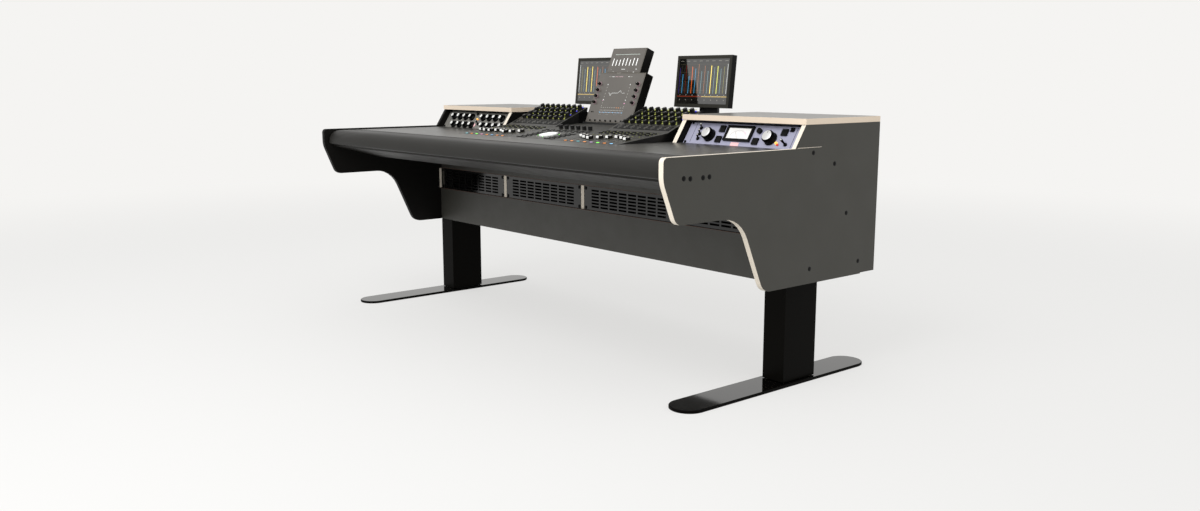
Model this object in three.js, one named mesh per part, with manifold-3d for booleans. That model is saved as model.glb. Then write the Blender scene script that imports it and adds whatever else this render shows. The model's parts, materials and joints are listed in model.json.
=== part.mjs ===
// A height-adjustable studio mixing desk, in millimetres, +X to the right, +Y to the back, +Z up.
// The floor is at z = 0 and x = 0 lies midway between the two side panels.
// Two T-shaped legs carry a plywood body. The body holds four vented bays, a padded armrest,
// a sunk mixing console with two banks of faders, two sloped rack boxes and three displays.
import * as THREE from 'three';
import { mergeVertices } from 'three/addons/utils/BufferGeometryUtils.js';
import Module from 'manifold-3d';

const wasm = await Module();
wasm.setup();

// Driving dimensions of the body
const rackUnitHeight = 44.45;
const rackFrontWidth = 482.6;
const rackFrontPlay = 0.8;
const boardThickness = 18;
const baySidePlay = 4.4;
const bayCount = 4;
const rackUnits = 2;
const seatGap = 0.3;
const cutOverrun = 5;
const arcSteps = 6;

// Heights of the body above the floor
const bodyBottomZ = 320;
const modestyRise = 138.5;
const wellFloorUnderZ = 615;
const worktopZ = 732;
const sideLip = 5;
const boxRise = 74.5;

// Depths of the body
const sideFrontY = -615;
const bodyBackY = 342;
const modestyFrontY = -66;
const modestyThickness = 12;
const ventFrontY = -60;
const ventThickness = 3;

// Outline of a side panel
const armCornerRadius = 14;
const noseBendZ = 672;
const noseBendRadius = 90;
const noseZ = 552;
const noseToeY = -565;
const noseToeRadius = 30;
const shoulderY = -309;
const shoulderRadius = 109;
const heelY = -204;
const heelRadius = 46;
const rearStepY = 269;
const rearStepRise = 3;
const cheekTopY = -27;
const ledgeDepth = 4;
const ledgeEndY = 58;

// Armrest and the sloped panel under it
const armFrontY = -600;
const armBackY = -467;
const armSkirtZ = 673;
const armSkirtThickness = 25;
const armPadThickness = 18;
const armFrontRadius = 42;
const armEdgeRadius = 6;
const armBoardBackY = -400;
const soffitFrontZ = 667;
const soffitRearY = -380;
const soffitThickness = 12;

// Legs
const footLength = 853;
const footWidth = 115;
const footThickness = 10;
const footBevel = 1.5;
const footFrontY = -499;
const legInset = 49.3;
const legFrontRoom = 4;
const sleeveSideRoom = 6;
const sleeveEndRoom = 19;
const sleeveWall = 4;
const sleeveLipHeight = 30;
const sleeveFloorGap = 2;
const postWidth = 72;
const postDepth = 112;
const postWall = 5;
const postTopZ = 582;
const postPlay = 0.5;
const postHolePlay = 2;
const minBridge = 5;

// Vent panels
const ventColumns = 8;
const ventRows = 6;
const ventEndMargin = 41.5;
const ventEdgeMargin = 10.5;
const slotGapX = 8.5;
const slotGapZ = 5;

// Top boards of the rack boxes
const topBoardOverhang = 3;

// Console
const moduleCount = 3;
const consoleSideMargin = 31;
const moduleGap = 0.6;
const consolePlay = 2;
const consoleFrontY = -303;
const consoleFrontDrop = 1.5;
const deskSlopeRun = 235;
const deskSlopeRise = 30;
const bankRun = 163;
const bankRise = 72.5;
const bankBackLean = 12;
const bankBackDrop = 50;
const centreBackRun = 113;
const centreBackRise = 10.5;
const moduleEdgeRadius = 3;
const moduleWall = 4;
const moduleLid = 12;
const strips = 8;
const stripMargin = 17;
const faderTravel = 100;
const faderSlotStart = 32;
const faderSlotWidth = 4;
const faderSlotDepth = 7;
const capWidth = 13;
const capLength = 22;
const capHeight = 11;
const capDip = 4;
const capEnd = 6;
const capRamp = 3;
const capEndRadius = 2.4;
const capStemWidth = 3;
const capStemDepth = 5;
const leftFaderShares = [0.44, 0.39, 0.38, 0.46, 0.47, 0.32, 0.41, 0.58];
const rightFaderShares = [0.51, 0.35, 0.23, 0.39, 0.51, 0.63, 0.54, 0.39];
const selectStart = 10;
const selectHeight = 1;
const selectWidth = 16;
const selectLength = 8;
const keyHeight = 2.5;
const keyRows = 3;
const keyRowStart = 170;
const keyRowPitch = 18;
const keyWidth = 14;
const keyLength = 8;
const bankRows = 4;
const bankRowPitch = 34;
const bankRowStart = 64;
const bankKnobRadius = 9.5;
const bankKnobTopRadius = 8.5;
const bankKnobHeight = 12;
const bankKnobSides = 8;
const jogRadius = 35;
const jogHeight = 9;
const jogRise = 5;
const jogAlong = 86;
const jogPlay = 1.5;
const jogSides = 32;
const masterKnobRadius = 8;
const masterKnobHeight = 14;
const masterKnobAlong = 212;

// Centre display
const displayWidthShare = 0.852;
const displayHeight = 201;
const displayThickness = 38;
const displayTiltDegrees = 22.3;
const displayFrontY = 62.5;
const displayFrontZ = 777.5;
const meterWidthShare = 0.731;
const meterHeight = 100;
const sideKnobRows = 4;
const sideKnobPitch = 25;
const sideKnobStart = 80;
const sideKnobInset = 22;
const sideKnobRadius = 6;
const sideKnobHeight = 12;

// Monitors
const monitorPlaceShare = 0.962;
const monitorWidthShare = 0.89;
const monitorHeight = 189;
const monitorThickness = 24;
const monitorBezel = 12;
const monitorScreenRecess = 1.5;
const monitorTiltDegrees = 6;
const monitorFrontY = 255.5;
const monitorFrontZ = 838;
const monitorBaseWidth = 190;
const monitorBaseDepth = 84;
const monitorBackMargin = 3;
const neckWidth = 92;
const neckThickness = 10;

// Hinges of the displays
const hingePinRadius = 5;
const hingeBarrelRadius = 9;
const hingePlay = 0.4;
const earThickness = 8;
const basePlateThickness = 6;
const hingeSides = 24;
const knuckleWidth = 40;
const displayHingeDrop = 11;
const displayBaseDepth = 62;
const displayBaseWidth = 150;
const shieldThickness = 3;
const shieldLap = 1;
const monitorHingeBack = 18;
const monitorHingeUp = 70;

// Rack units
const frontThickness = 3.2;
const rackSetback = 27;
const rackDrop = 4;
const chassisInset = 26.3;
const chassisMargin = 4;
const chassisWall = 2;
const compressorKnobRadius = 23;
const compressorKnobTopRadius = 18;
const compressorKnobHeight = 24;
const compressorKnobSides = 24;
const compressorKnobShares = [-0.278, 0.259];
const compressorKnobUpShare = 0.405;
const compressorSmallShare = [0.147, 0.675];
const compressorSmallRadius = 9;
const compressorButtonShares = [[-0.182, 0.697], [-0.182, 0.259], [0.143, 0.259], [0.354, 0.675]];
const compressorButtonSize = 23;
const compressorButtonHeight = 6;
const meterBezelShare = [-0.02, 0.529];
const meterBezelWidth = 112;
const meterBezelHeight = 56;
const meterBezelDepth = 8;
const meterBezelRim = 8;
const equaliserRowShares = [[0, 0.64], [0.05, 0.2]];
const equaliserGroupShares = [-0.385, 0.085];
const equaliserPitchShare = 0.096;
const equaliserGroupKnobs = 4;
const equaliserKnobRadius = 14;
const equaliserKnobTopRadius = 10;
const equaliserKnobHeight = 20;
const equaliserKnobSides = 12;

// Sizes worked out from the driving ones
const bayPitch = rackFrontWidth + baySidePlay + boardThickness;
const deskWidth = bayPitch * bayCount + boardThickness;
const innerHalf = deskWidth / 2 - boardThickness;
const clearHalf = innerHalf - seatGap;
const bayFloorZ = bodyBottomZ + modestyRise;
const bayOpening = rackUnits * rackUnitHeight;
const bayRoofUnderZ = bayFloorZ + bayOpening;
const wellFloorZ = wellFloorUnderZ + boardThickness;
const sideTopZ = worktopZ + sideLip;
const boxTopZ = worktopZ + boxRise;
const slantRun = Math.sqrt(bayOpening ** 2 - boxRise ** 2);
const slantAngle = Math.atan2(slantRun, boxRise);
const cheekFootY = cheekTopY - slantRun;
const cheekX = bayPitch * (bayCount / 2 - 1);
const cheekInner = cheekX - boardThickness / 2;
const cheekOuter = cheekX + boardThickness / 2;
const backPanelFrontY = bodyBackY - boardThickness;
const boardBackY = backPanelFrontY - seatGap;
const bayFrontY = modestyFrontY + modestyThickness + seatGap;
const rackCentreX = (cheekOuter + innerHalf) / 2;
const deskSlope = Math.atan2(deskSlopeRise, deskSlopeRun);
const bankSlope = Math.atan2(bankRise, bankRun);
const bankLength = Math.hypot(bankRun, bankRise);
const consoleFrontZ = worktopZ - consoleFrontDrop;
const slopeEndY = consoleFrontY + deskSlopeRun;
const slopeEndZ = consoleFrontZ + deskSlopeRise;
const bankTopY = slopeEndY + bankRun;
const bankTopZ = slopeEndZ + bankRise;
const consoleBackY = bankTopY - bankBackLean;
const centreBackY = slopeEndY + centreBackRun;
const modulePitch = (2 * (cheekInner - consoleSideMargin)) / moduleCount;
const stripPitch = (modulePitch - 2 * stripMargin) / strips;
const displayWidth = displayWidthShare * modulePitch;
const meterWidth = meterWidthShare * displayWidth;
const monitorWidth = monitorWidthShare * modulePitch;
const displayTilt = THREE.MathUtils.degToRad(displayTiltDegrees);
const monitorTilt = THREE.MathUtils.degToRad(monitorTiltDegrees);
const ventHeight = bayOpening - rackFrontPlay;
const legX = innerHalf - legInset;
const legY = modestyFrontY + modestyThickness + legFrontRoom + postDepth / 2;
const sleeveWidth = postWidth + 2 * sleeveSideRoom;
const sleeveDepth = postDepth + 2 * sleeveEndRoom;

const desk = new THREE.Group();

// Adds a named mesh with its own material to a group.
function addPart(name, geometry, color, roughness, metalness, parent = desk) {
  const material = new THREE.MeshStandardMaterial({ color, roughness, metalness });
  const mesh = new THREE.Mesh(geometry, material);
  mesh.name = name;
  parent.add(mesh);
  return mesh;
}

const paints = {
  laminate: [0x46443f, 0.6, 0.0],
  ply: [0xe6d9c4, 0.7, 0.0],
  pad: [0x3c3a36, 0.6, 0.0],
  steel: [0x2a2a29, 0.5, 0.4],
  gloss: [0x0c0c0c, 0.15, 0.2],
  moulding: [0x24231f, 0.5, 0.0],
  knob: [0x101010, 0.4, 0.0],
  cap: [0xe8e8e4, 0.4, 0.0],
  screen: [0x1c1c1e, 0.2, 0.0],
  lilac: [0x9696b2, 0.45, 0.3],
  grey: [0x55544f, 0.5, 0.3],
};

function addPainted(name, geometry, paint, parent) {
  const [color, roughness, metalness] = paints[paint];
  return addPart(name, geometry, color, roughness, metalness, parent);
}

// Turns a closed geometry into a solid for cutting and joining.
function toSolid(geometry) {
  const bare = geometry.clone();
  bare.deleteAttribute('normal');
  bare.deleteAttribute('uv');
  const merged = mergeVertices(bare, 1e-4);
  const mesh = new wasm.Mesh({
    numProp: 3,
    vertProperties: new Float32Array(merged.attributes.position.array),
    triVerts: new Uint32Array(merged.index.array),
  });
  return new wasm.Manifold(mesh);
}

function toGeometry(solid) {
  const mesh = solid.getMesh();
  const geometry = new THREE.BufferGeometry();
  geometry.setAttribute('position', new THREE.BufferAttribute(new Float32Array(mesh.vertProperties), 3));
  geometry.setIndex(new THREE.BufferAttribute(new Uint32Array(mesh.triVerts), 1));
  geometry.computeVertexNormals();
  return geometry;
}

function joined(geometries) {
  return geometries.map(toSolid).reduce((sum, solid) => sum.add(solid));
}

function cutFrom(geometry, cutters) {
  return toGeometry(toSolid(geometry).subtract(joined(cutters)));
}

function joinedGeometry(geometries) {
  return toGeometry(joined(geometries));
}

// A box given by its lowest and highest corners.
function boxBetween(x0, x1, y0, y1, z0, z1) {
  const box = new THREE.BoxGeometry(x1 - x0, y1 - y0, z1 - z0);
  return box.translate((x0 + x1) / 2, (y0 + y1) / 2, (z0 + z1) / 2);
}

// A closed outline whose corners [a, b, radius] are rounded by arcs.
function roundedShape(corners) {
  const points = [];
  const count = corners.length;
  corners.forEach(([a, b, radius = 0], index) => {
    const here = new THREE.Vector2(a, b);
    if (radius === 0) {
      points.push(here);
      return;
    }
    const before = corners[(index + count - 1) % count];
    const after = corners[(index + 1) % count];
    const back = new THREE.Vector2(before[0], before[1]).sub(here).normalize();
    const ahead = new THREE.Vector2(after[0], after[1]).sub(here).normalize();
    const half = Math.acos(THREE.MathUtils.clamp(back.dot(ahead), -1, 1)) / 2;
    const reach = radius / Math.tan(half);
    const start = here.clone().addScaledVector(back, reach);
    const end = here.clone().addScaledVector(ahead, reach);
    const middle = back.clone().add(ahead).normalize();
    const centre = here.clone().addScaledVector(middle, radius / Math.sin(half));
    const from = start.clone().sub(centre).angle();
    let sweep = end.clone().sub(centre).angle() - from;
    sweep -= Math.round(sweep / (2 * Math.PI)) * 2 * Math.PI;
    for (let step = 0; step <= arcSteps; step += 1) {
      const angle = from + (sweep * step) / arcSteps;
      points.push(new THREE.Vector2(Math.cos(angle), Math.sin(angle)).multiplyScalar(radius).add(centre));
    }
  });
  return new THREE.Shape(points);
}

// Extrudes a (y, z) outline along X between two planes.
function alongX(shape, x0, x1) {
  const geometry = new THREE.ExtrudeGeometry(shape, { depth: x1 - x0, bevelEnabled: false });
  const turn = new THREE.Matrix4().makeBasis(
    new THREE.Vector3(0, 1, 0),
    new THREE.Vector3(0, 0, 1),
    new THREE.Vector3(1, 0, 0),
  );
  return geometry.applyMatrix4(turn).translate(x0, 0, 0);
}

// Extrudes an (x, y) outline upwards between two heights.
function alongZ(shape, z0, z1) {
  const geometry = new THREE.ExtrudeGeometry(shape, { depth: z1 - z0, bevelEnabled: false });
  return geometry.translate(0, 0, z0);
}

// A frustum that stands on z = 0 with its axis along +Z.
function standingKnob(bottomRadius, topRadius, height, sides) {
  const knob = new THREE.CylinderGeometry(topRadius, bottomRadius, height, sides);
  return knob.rotateX(Math.PI / 2).translate(0, 0, height / 2);
}

// A cylinder along X that is centred on the origin.
function barrel(radius, width, sides) {
  return new THREE.CylinderGeometry(radius, radius, width, sides).rotateZ(Math.PI / 2);
}

// The outline shared by both side panels, seen from the right.
function sideShape() {
  const slantAtLip = cheekFootY + (sideLip * slantRun) / boxRise;
  return roundedShape([
    [sideFrontY, sideTopZ, armCornerRadius],
    [sideFrontY, noseBendZ, noseBendRadius],
    [noseToeY, noseZ, noseToeRadius],
    [shoulderY, noseZ, shoulderRadius],
    [heelY, bodyBottomZ, heelRadius],
    [rearStepY, bodyBottomZ],
    [rearStepY, bodyBottomZ + rearStepRise],
    [bodyBackY, bodyBottomZ + rearStepRise],
    [bodyBackY, boxTopZ],
    [cheekTopY, boxTopZ],
    [slantAtLip, sideTopZ],
  ]);
}

// The upper rear of each side panel is planed back to a ledge that fades out towards the back.
function ledgeCutter(side) {
  const face = (side * deskWidth) / 2;
  const shape = new THREE.Shape([
    new THREE.Vector2(face - side * ledgeDepth, cheekFootY - cutOverrun),
    new THREE.Vector2(face, ledgeEndY),
    new THREE.Vector2(face + side * cutOverrun, ledgeEndY),
    new THREE.Vector2(face + side * cutOverrun, cheekFootY - cutOverrun),
  ]);
  return alongZ(shape, sideTopZ, boxTopZ + cutOverrun);
}

function addSidePanels() {
  for (const side of [-1, 1]) {
    const inner = side * innerHalf;
    const outer = (side * deskWidth) / 2;
    const panel = alongX(sideShape(), Math.min(inner, outer), Math.max(inner, outer));
    const name = side < 0 ? 'side_panel_left' : 'side_panel_right';
    addPainted(name, cutFrom(panel, [ledgeCutter(side)]), 'laminate');
  }
}

// The worktop runs between the side panels, steps in beside the rack boxes and frames the console.
// A land behind the centre module carries the bracket of the centre display.
function addWorktop() {
  const frontY = armBackY + seatGap;
  const boxY = cheekFootY + rackSetback - 2 * rackDrop * Math.sin(slantAngle);
  const cheekY = cheekFootY - seatGap;
  const tongueX = cheekInner - seatGap;
  const pocketX = cheekOuter + seatGap;
  const shape = new THREE.Shape([
    new THREE.Vector2(-clearHalf, frontY),
    new THREE.Vector2(clearHalf, frontY),
    new THREE.Vector2(clearHalf, boxY),
    new THREE.Vector2(pocketX, boxY),
    new THREE.Vector2(pocketX, cheekY),
    new THREE.Vector2(tongueX, cheekY),
    new THREE.Vector2(tongueX, bodyBackY),
    new THREE.Vector2(-tongueX, bodyBackY),
    new THREE.Vector2(-tongueX, cheekY),
    new THREE.Vector2(-pocketX, cheekY),
    new THREE.Vector2(-pocketX, boxY),
    new THREE.Vector2(-clearHalf, boxY),
  ]);
  const holeX = (modulePitch * moduleCount) / 2 + consolePlay;
  const landX = modulePitch / 2 - consolePlay;
  const holeFront = consoleFrontY - consolePlay;
  const holeBack = consoleBackY + consolePlay;
  const landFront = centreBackY + consolePlay;
  shape.holes.push(new THREE.Path([
    new THREE.Vector2(-holeX, holeFront),
    new THREE.Vector2(-holeX, holeBack),
    new THREE.Vector2(-landX, holeBack),
    new THREE.Vector2(-landX, landFront),
    new THREE.Vector2(landX, landFront),
    new THREE.Vector2(landX, holeBack),
    new THREE.Vector2(holeX, holeBack),
    new THREE.Vector2(holeX, holeFront),
  ]));
  addPainted('worktop', alongZ(shape, worktopZ - boardThickness, worktopZ), 'laminate');
}

// The pad wraps over the front edge of its board.
function addArmrest() {
  const boardTopZ = worktopZ - armPadThickness;
  const skirtBackY = armFrontY + armSkirtThickness;
  const padShape = roundedShape([
    [armBackY, worktopZ, armEdgeRadius],
    [armFrontY, worktopZ, armFrontRadius],
    [armFrontY, armSkirtZ, armEdgeRadius],
    [skirtBackY, armSkirtZ],
    [skirtBackY, boardTopZ],
    [armBackY, boardTopZ],
  ]);
  addPainted('armrest_pad', alongX(padShape, -clearHalf, clearHalf), 'pad');
  const boardTop = Math.min(boardTopZ, worktopZ - boardThickness) - seatGap;
  const board = boxBetween(
    -clearHalf, clearHalf,
    skirtBackY + seatGap, armBoardBackY,
    boardTop - boardThickness, boardTop,
  );
  addPainted('armrest_board', board, 'ply');
}

// The sloped panel closes the underside from the armrest down to the console well.
function addSoffit() {
  const frontY = armFrontY + armSkirtThickness + seatGap;
  const topZ = Math.min(worktopZ - armPadThickness, worktopZ - boardThickness) - boardThickness - 2 * seatGap;
  const rearZ = wellFloorUnderZ;
  const slope = Math.atan2(soffitFrontZ - rearZ, soffitRearY - frontY);
  const rise = soffitThickness / Math.cos(slope);
  const bendY = frontY + soffitThickness;
  const bendZ = soffitFrontZ + rise - Math.tan(slope) * soffitThickness;
  const shape = roundedShape([
    [frontY, topZ],
    [frontY, soffitFrontZ],
    [soffitRearY, rearZ],
    [soffitRearY, rearZ + rise],
    [bendY, bendZ],
    [bendY, topZ],
  ]);
  addPainted('front_soffit', alongX(shape, -clearHalf, clearHalf), 'laminate');
}

// Holes that let the two leg posts pass through a board, open to its front where little would be left.
function postCutters(boardFrontY, z0, z1) {
  const halfX = postWidth / 2 + postHolePlay;
  const halfY = postDepth / 2 + postHolePlay;
  const bridge = legY - halfY - boardFrontY;
  const frontY = bridge < minBridge ? boardFrontY - cutOverrun : legY - halfY;
  return [-1, 1].map((side) => boxBetween(
    side * legX - halfX, side * legX + halfX,
    frontY, legY + halfY,
    z0 - cutOverrun, z1 + cutOverrun,
  ));
}

function addBoard(name, frontY, z0, paint, pierced) {
  const board = boxBetween(-clearHalf, clearHalf, frontY, boardBackY, z0, z0 + boardThickness);
  const geometry = pierced ? cutFrom(board, postCutters(frontY, z0, z0 + boardThickness)) : board;
  addPainted(name, geometry, paint);
}

function addBodyBoards() {
  addBoard('bottom_board', bayFrontY, bodyBottomZ + seatGap, 'laminate', true);
  addBoard('bay_floor', bayFrontY, bayFloorZ - boardThickness, 'laminate', true);
  addBoard('bay_roof', ventFrontY, bayRoofUnderZ, 'laminate', true);
  addBoard('console_well_floor', soffitRearY + seatGap, wellFloorUnderZ, 'laminate', false);
  const modesty = boxBetween(
    -clearHalf, clearHalf,
    modestyFrontY, modestyFrontY + modestyThickness,
    bodyBottomZ + seatGap, bayFloorZ,
  );
  addPainted('modesty_panel', modesty, 'laminate');
}

// The back panel is low behind the console and rises behind each rack box.
function addBackPanel() {
  const lowZ = worktopZ - boardThickness - seatGap;
  const highZ = boxTopZ - seatGap;
  const low = boxBetween(-clearHalf, clearHalf, backPanelFrontY, bodyBackY, bodyBottomZ + seatGap, lowZ);
  const raised = [-1, 1].map((side) => boxBetween(
    Math.min(side * cheekInner, side * clearHalf), Math.max(side * cheekInner, side * clearHalf),
    backPanelFrontY, bodyBackY,
    lowZ - boardThickness, highZ,
  ));
  addPainted('back_panel', joinedGeometry([low, ...raised]), 'laminate');
}

function addBayUprights() {
  for (let index = 1; index < bayCount; index += 1) {
    const x = (index - bayCount / 2) * bayPitch;
    const upright = boxBetween(
      x - boardThickness / 2, x + boardThickness / 2,
      ventFrontY, boardBackY,
      bayFloorZ + seatGap, bayRoofUnderZ - seatGap,
    );
    addPainted(`bay_upright_${index}`, upright, 'ply');
  }
}

// Each vent panel is a rack front with rows of slots between its two screwed ends.
function ventPanel() {
  const plate = boxBetween(
    -rackFrontWidth / 2, rackFrontWidth / 2,
    0, ventThickness,
    0, ventHeight,
  );
  const slotPitchX = (rackFrontWidth - 2 * ventEndMargin + slotGapX) / ventColumns;
  const slotPitchZ = (ventHeight - 2 * ventEdgeMargin + slotGapZ) / ventRows;
  const slotWidth = slotPitchX - slotGapX;
  const slotHeight = slotPitchZ - slotGapZ;
  const slots = [];
  for (let column = 0; column < ventColumns; column += 1) {
    for (let row = 0; row < ventRows; row += 1) {
      const x = (column - (ventColumns - 1) / 2) * slotPitchX;
      const z = ventHeight / 2 + (row - (ventRows - 1) / 2) * slotPitchZ;
      slots.push(boxBetween(
        x - slotWidth / 2, x + slotWidth / 2,
        -cutOverrun, ventThickness + cutOverrun,
        z - slotHeight / 2, z + slotHeight / 2,
      ));
    }
  }
  return cutFrom(plate, slots);
}

function addVentPanels() {
  for (let bay = 0; bay < bayCount; bay += 1) {
    const x = (bay - (bayCount - 1) / 2) * bayPitch;
    const panel = addPainted(`vent_panel_${bay + 1}`, ventPanel(), 'steel');
    panel.position.set(x, ventFrontY, bayFloorZ + rackFrontPlay / 2);
  }
}

// The inner cheek of a rack box stands in the console well and carries the top board.
function addRackBoxes() {
  const shape = roundedShape([
    [cheekFootY, wellFloorZ + seatGap],
    [cheekFootY, worktopZ],
    [cheekTopY, boxTopZ - seatGap],
    [boardBackY, boxTopZ - seatGap],
    [boardBackY, wellFloorZ + seatGap],
  ]);
  for (const side of [-1, 1]) {
    const word = side < 0 ? 'left' : 'right';
    const inner = side * cheekInner;
    const outer = side * cheekOuter;
    const cheek = alongX(shape, Math.min(inner, outer), Math.max(inner, outer));
    addPainted(`rack_cheek_${word}`, cheek, 'ply');
    const edge = (side * deskWidth) / 2;
    const top = boxBetween(
      Math.min(inner, edge), Math.max(inner, edge),
      cheekTopY - topBoardOverhang, bodyBackY,
      boxTopZ + seatGap, boxTopZ + boardThickness,
    );
    addPainted(`top_board_${word}`, top, 'ply');
  }
}

// A hollow upright with a lip at its lower end that guides the post.
function addLegs() {
  const backY = footFrontY + footLength;
  const radius = footWidth / 2;
  for (const side of [-1, 1]) {
    const word = side < 0 ? 'left' : 'right';
    const centre = side * legX;
    addPainted(`foot_plate_${word}`, footPlate(centre, footFrontY, backY, radius), 'gloss');
    addPainted(`leg_post_${word}`, legPost(centre), 'steel');
    addPainted(`leg_sleeve_${word}`, legSleeve(centre), 'gloss');
  }
}

function footPlate(x, frontY, backY, radius) {
  const shape = new THREE.Shape();
  const inset = radius - footBevel;
  shape.absarc(x, frontY + radius, inset, Math.PI, 2 * Math.PI, false);
  shape.absarc(x, backY - radius, inset, 0, Math.PI, false);
  const plate = new THREE.ExtrudeGeometry(shape, {
    depth: footThickness - 2 * footBevel,
    bevelEnabled: true,
    bevelThickness: footBevel,
    bevelSize: footBevel,
    bevelSegments: 1,
    curveSegments: 12,
  });
  return plate.translate(0, 0, footBevel);
}

function legPost(x) {
  const halfX = postWidth / 2;
  const halfY = postDepth / 2;
  const bottomZ = footThickness + seatGap;
  const outer = boxBetween(x - halfX, x + halfX, legY - halfY, legY + halfY, bottomZ, postTopZ);
  const bore = boxBetween(
    x - halfX + postWall, x + halfX - postWall,
    legY - halfY + postWall, legY + halfY - postWall,
    bottomZ - cutOverrun, postTopZ + cutOverrun,
  );
  return cutFrom(outer, [bore]);
}

function legSleeve(x) {
  const halfX = sleeveWidth / 2;
  const halfY = sleeveDepth / 2;
  const bottomZ = footThickness + sleeveFloorGap;
  const outer = boxBetween(x - halfX, x + halfX, legY - halfY, legY + halfY, bottomZ, bodyBottomZ);
  const cavity = boxBetween(
    x - halfX + sleeveWall, x + halfX - sleeveWall,
    legY - halfY + sleeveWall, legY + halfY - sleeveWall,
    bottomZ + sleeveLipHeight, bodyBottomZ + cutOverrun,
  );
  const mouth = boxBetween(
    x - postWidth / 2 - postPlay, x + postWidth / 2 + postPlay,
    legY - postDepth / 2 - postPlay, legY + postDepth / 2 + postPlay,
    bottomZ - cutOverrun, bodyBottomZ + cutOverrun,
  );
  return cutFrom(outer, [cavity, mouth]);
}

// A group whose z = 0 plane is the console's lower slope, with +Y running up the slope.
function deskSlopeGroup(x, parent) {
  const group = new THREE.Group();
  group.position.set(x, consoleFrontY, consoleFrontZ);
  group.rotation.x = deskSlope;
  parent.add(group);
  return group;
}

function onDeskSlope(geometry) {
  return geometry.rotateX(deskSlope).translate(0, consoleFrontY, consoleFrontZ);
}

function onBankSlope(geometry) {
  return geometry.rotateX(bankSlope).translate(0, slopeEndY, slopeEndZ);
}

function stripX(strip) {
  return (strip - (strips - 1) / 2) * stripPitch;
}

// The outline of a console module, closed along the front, the slopes and the back.
function moduleShape(slopes, backY, inset, lid, bottomZ) {
  const frontY = consoleFrontY + inset;
  return roundedShape([
    [frontY, bottomZ],
    [frontY, consoleFrontZ - lid],
    [slopeEndY, slopeEndZ - lid],
    ...slopes.map(([y, z]) => [y - inset, z - lid, moduleEdgeRadius]),
    [backY - inset, bottomZ],
  ]);
}

// A module's shell: the outline less the room inside, which is open below.
function moduleShell(slopes, backY) {
  const half = (modulePitch - moduleGap) / 2;
  const bottomZ = wellFloorZ + seatGap;
  const outer = alongX(moduleShape(slopes, backY, 0, 0, bottomZ), -half, half);
  const inner = moduleShape(slopes, backY, moduleWall, moduleLid, bottomZ - cutOverrun);
  const room = alongX(inner, -half + moduleWall, half - moduleWall);
  return toSolid(outer).subtract(toSolid(room));
}

// A flat key on a strip, given by its place up the slope.
function slopeKey(strip, along, width, length, height) {
  const x = stripX(strip);
  return onDeskSlope(boxBetween(
    x - width / 2, x + width / 2,
    along, along + length,
    -keyHeight, height,
  ));
}

// A fader module: a wedge with fader slots and keys on its lower slope and knobs on its bank.
function faderModule() {
  const slopes = [[bankTopY, bankTopZ], [consoleBackY, bankTopZ - bankBackDrop]];
  const slots = [];
  const proud = [];
  for (let strip = 0; strip < strips; strip += 1) {
    const x = stripX(strip);
    slots.push(onDeskSlope(boxBetween(
      x - faderSlotWidth / 2, x + faderSlotWidth / 2,
      faderSlotStart, faderSlotStart + faderTravel + capLength,
      -faderSlotDepth, cutOverrun,
    )));
    proud.push(slopeKey(strip, selectStart, selectWidth, selectLength, selectHeight));
    for (let row = 0; row < keyRows; row += 1) {
      proud.push(slopeKey(strip, keyRowStart + row * keyRowPitch, keyWidth, keyLength, keyHeight));
    }
    for (let row = 0; row < bankRows; row += 1) {
      const knob = standingKnob(bankKnobRadius, bankKnobTopRadius, bankKnobHeight + keyHeight, bankKnobSides);
      proud.push(onBankSlope(knob.translate(x, bankRowStart + row * bankRowPitch, -keyHeight)));
    }
  }
  return toGeometry(moduleShell(slopes, consoleBackY).add(joined(proud)).subtract(joined(slots)));
}

// A fader cap with two raised ends, a dip between them and a stem that runs in its slot.
function faderCap() {
  const half = capWidth / 2;
  const stem = capStemWidth / 2;
  const dipZ = capHeight - capDip;
  const shape = roundedShape([
    [0, seatGap],
    [0, capHeight, capEndRadius],
    [capEnd, capHeight, capEndRadius],
    [capEnd + capRamp, dipZ],
    [capLength - capEnd - capRamp, dipZ],
    [capLength - capEnd, capHeight, capEndRadius],
    [capLength, capHeight, capEndRadius],
    [capLength, seatGap],
  ]);
  return joinedGeometry([
    alongX(shape, -half, half),
    boxBetween(-stem, stem, capEnd, capLength - capEnd, -capStemDepth, dipZ / 2),
  ]);
}

function addFaderModules() {
  for (const side of [-1, 1]) {
    const word = side < 0 ? 'left' : 'right';
    const module = addPainted(`fader_module_${word}`, faderModule(), 'moulding');
    module.position.x = side * modulePitch;
    const slope = deskSlopeGroup(side * modulePitch, desk);
    for (let strip = 0; strip < strips; strip += 1) {
      const share = (side < 0 ? leftFaderShares : rightFaderShares)[strip];
      const cap = addPainted(`fader_${word}_${strip + 1}`, faderCap(), 'cap', slope);
      cap.position.set(stripX(strip), faderSlotStart + share * faderTravel, 0);
    }
  }
}

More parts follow.
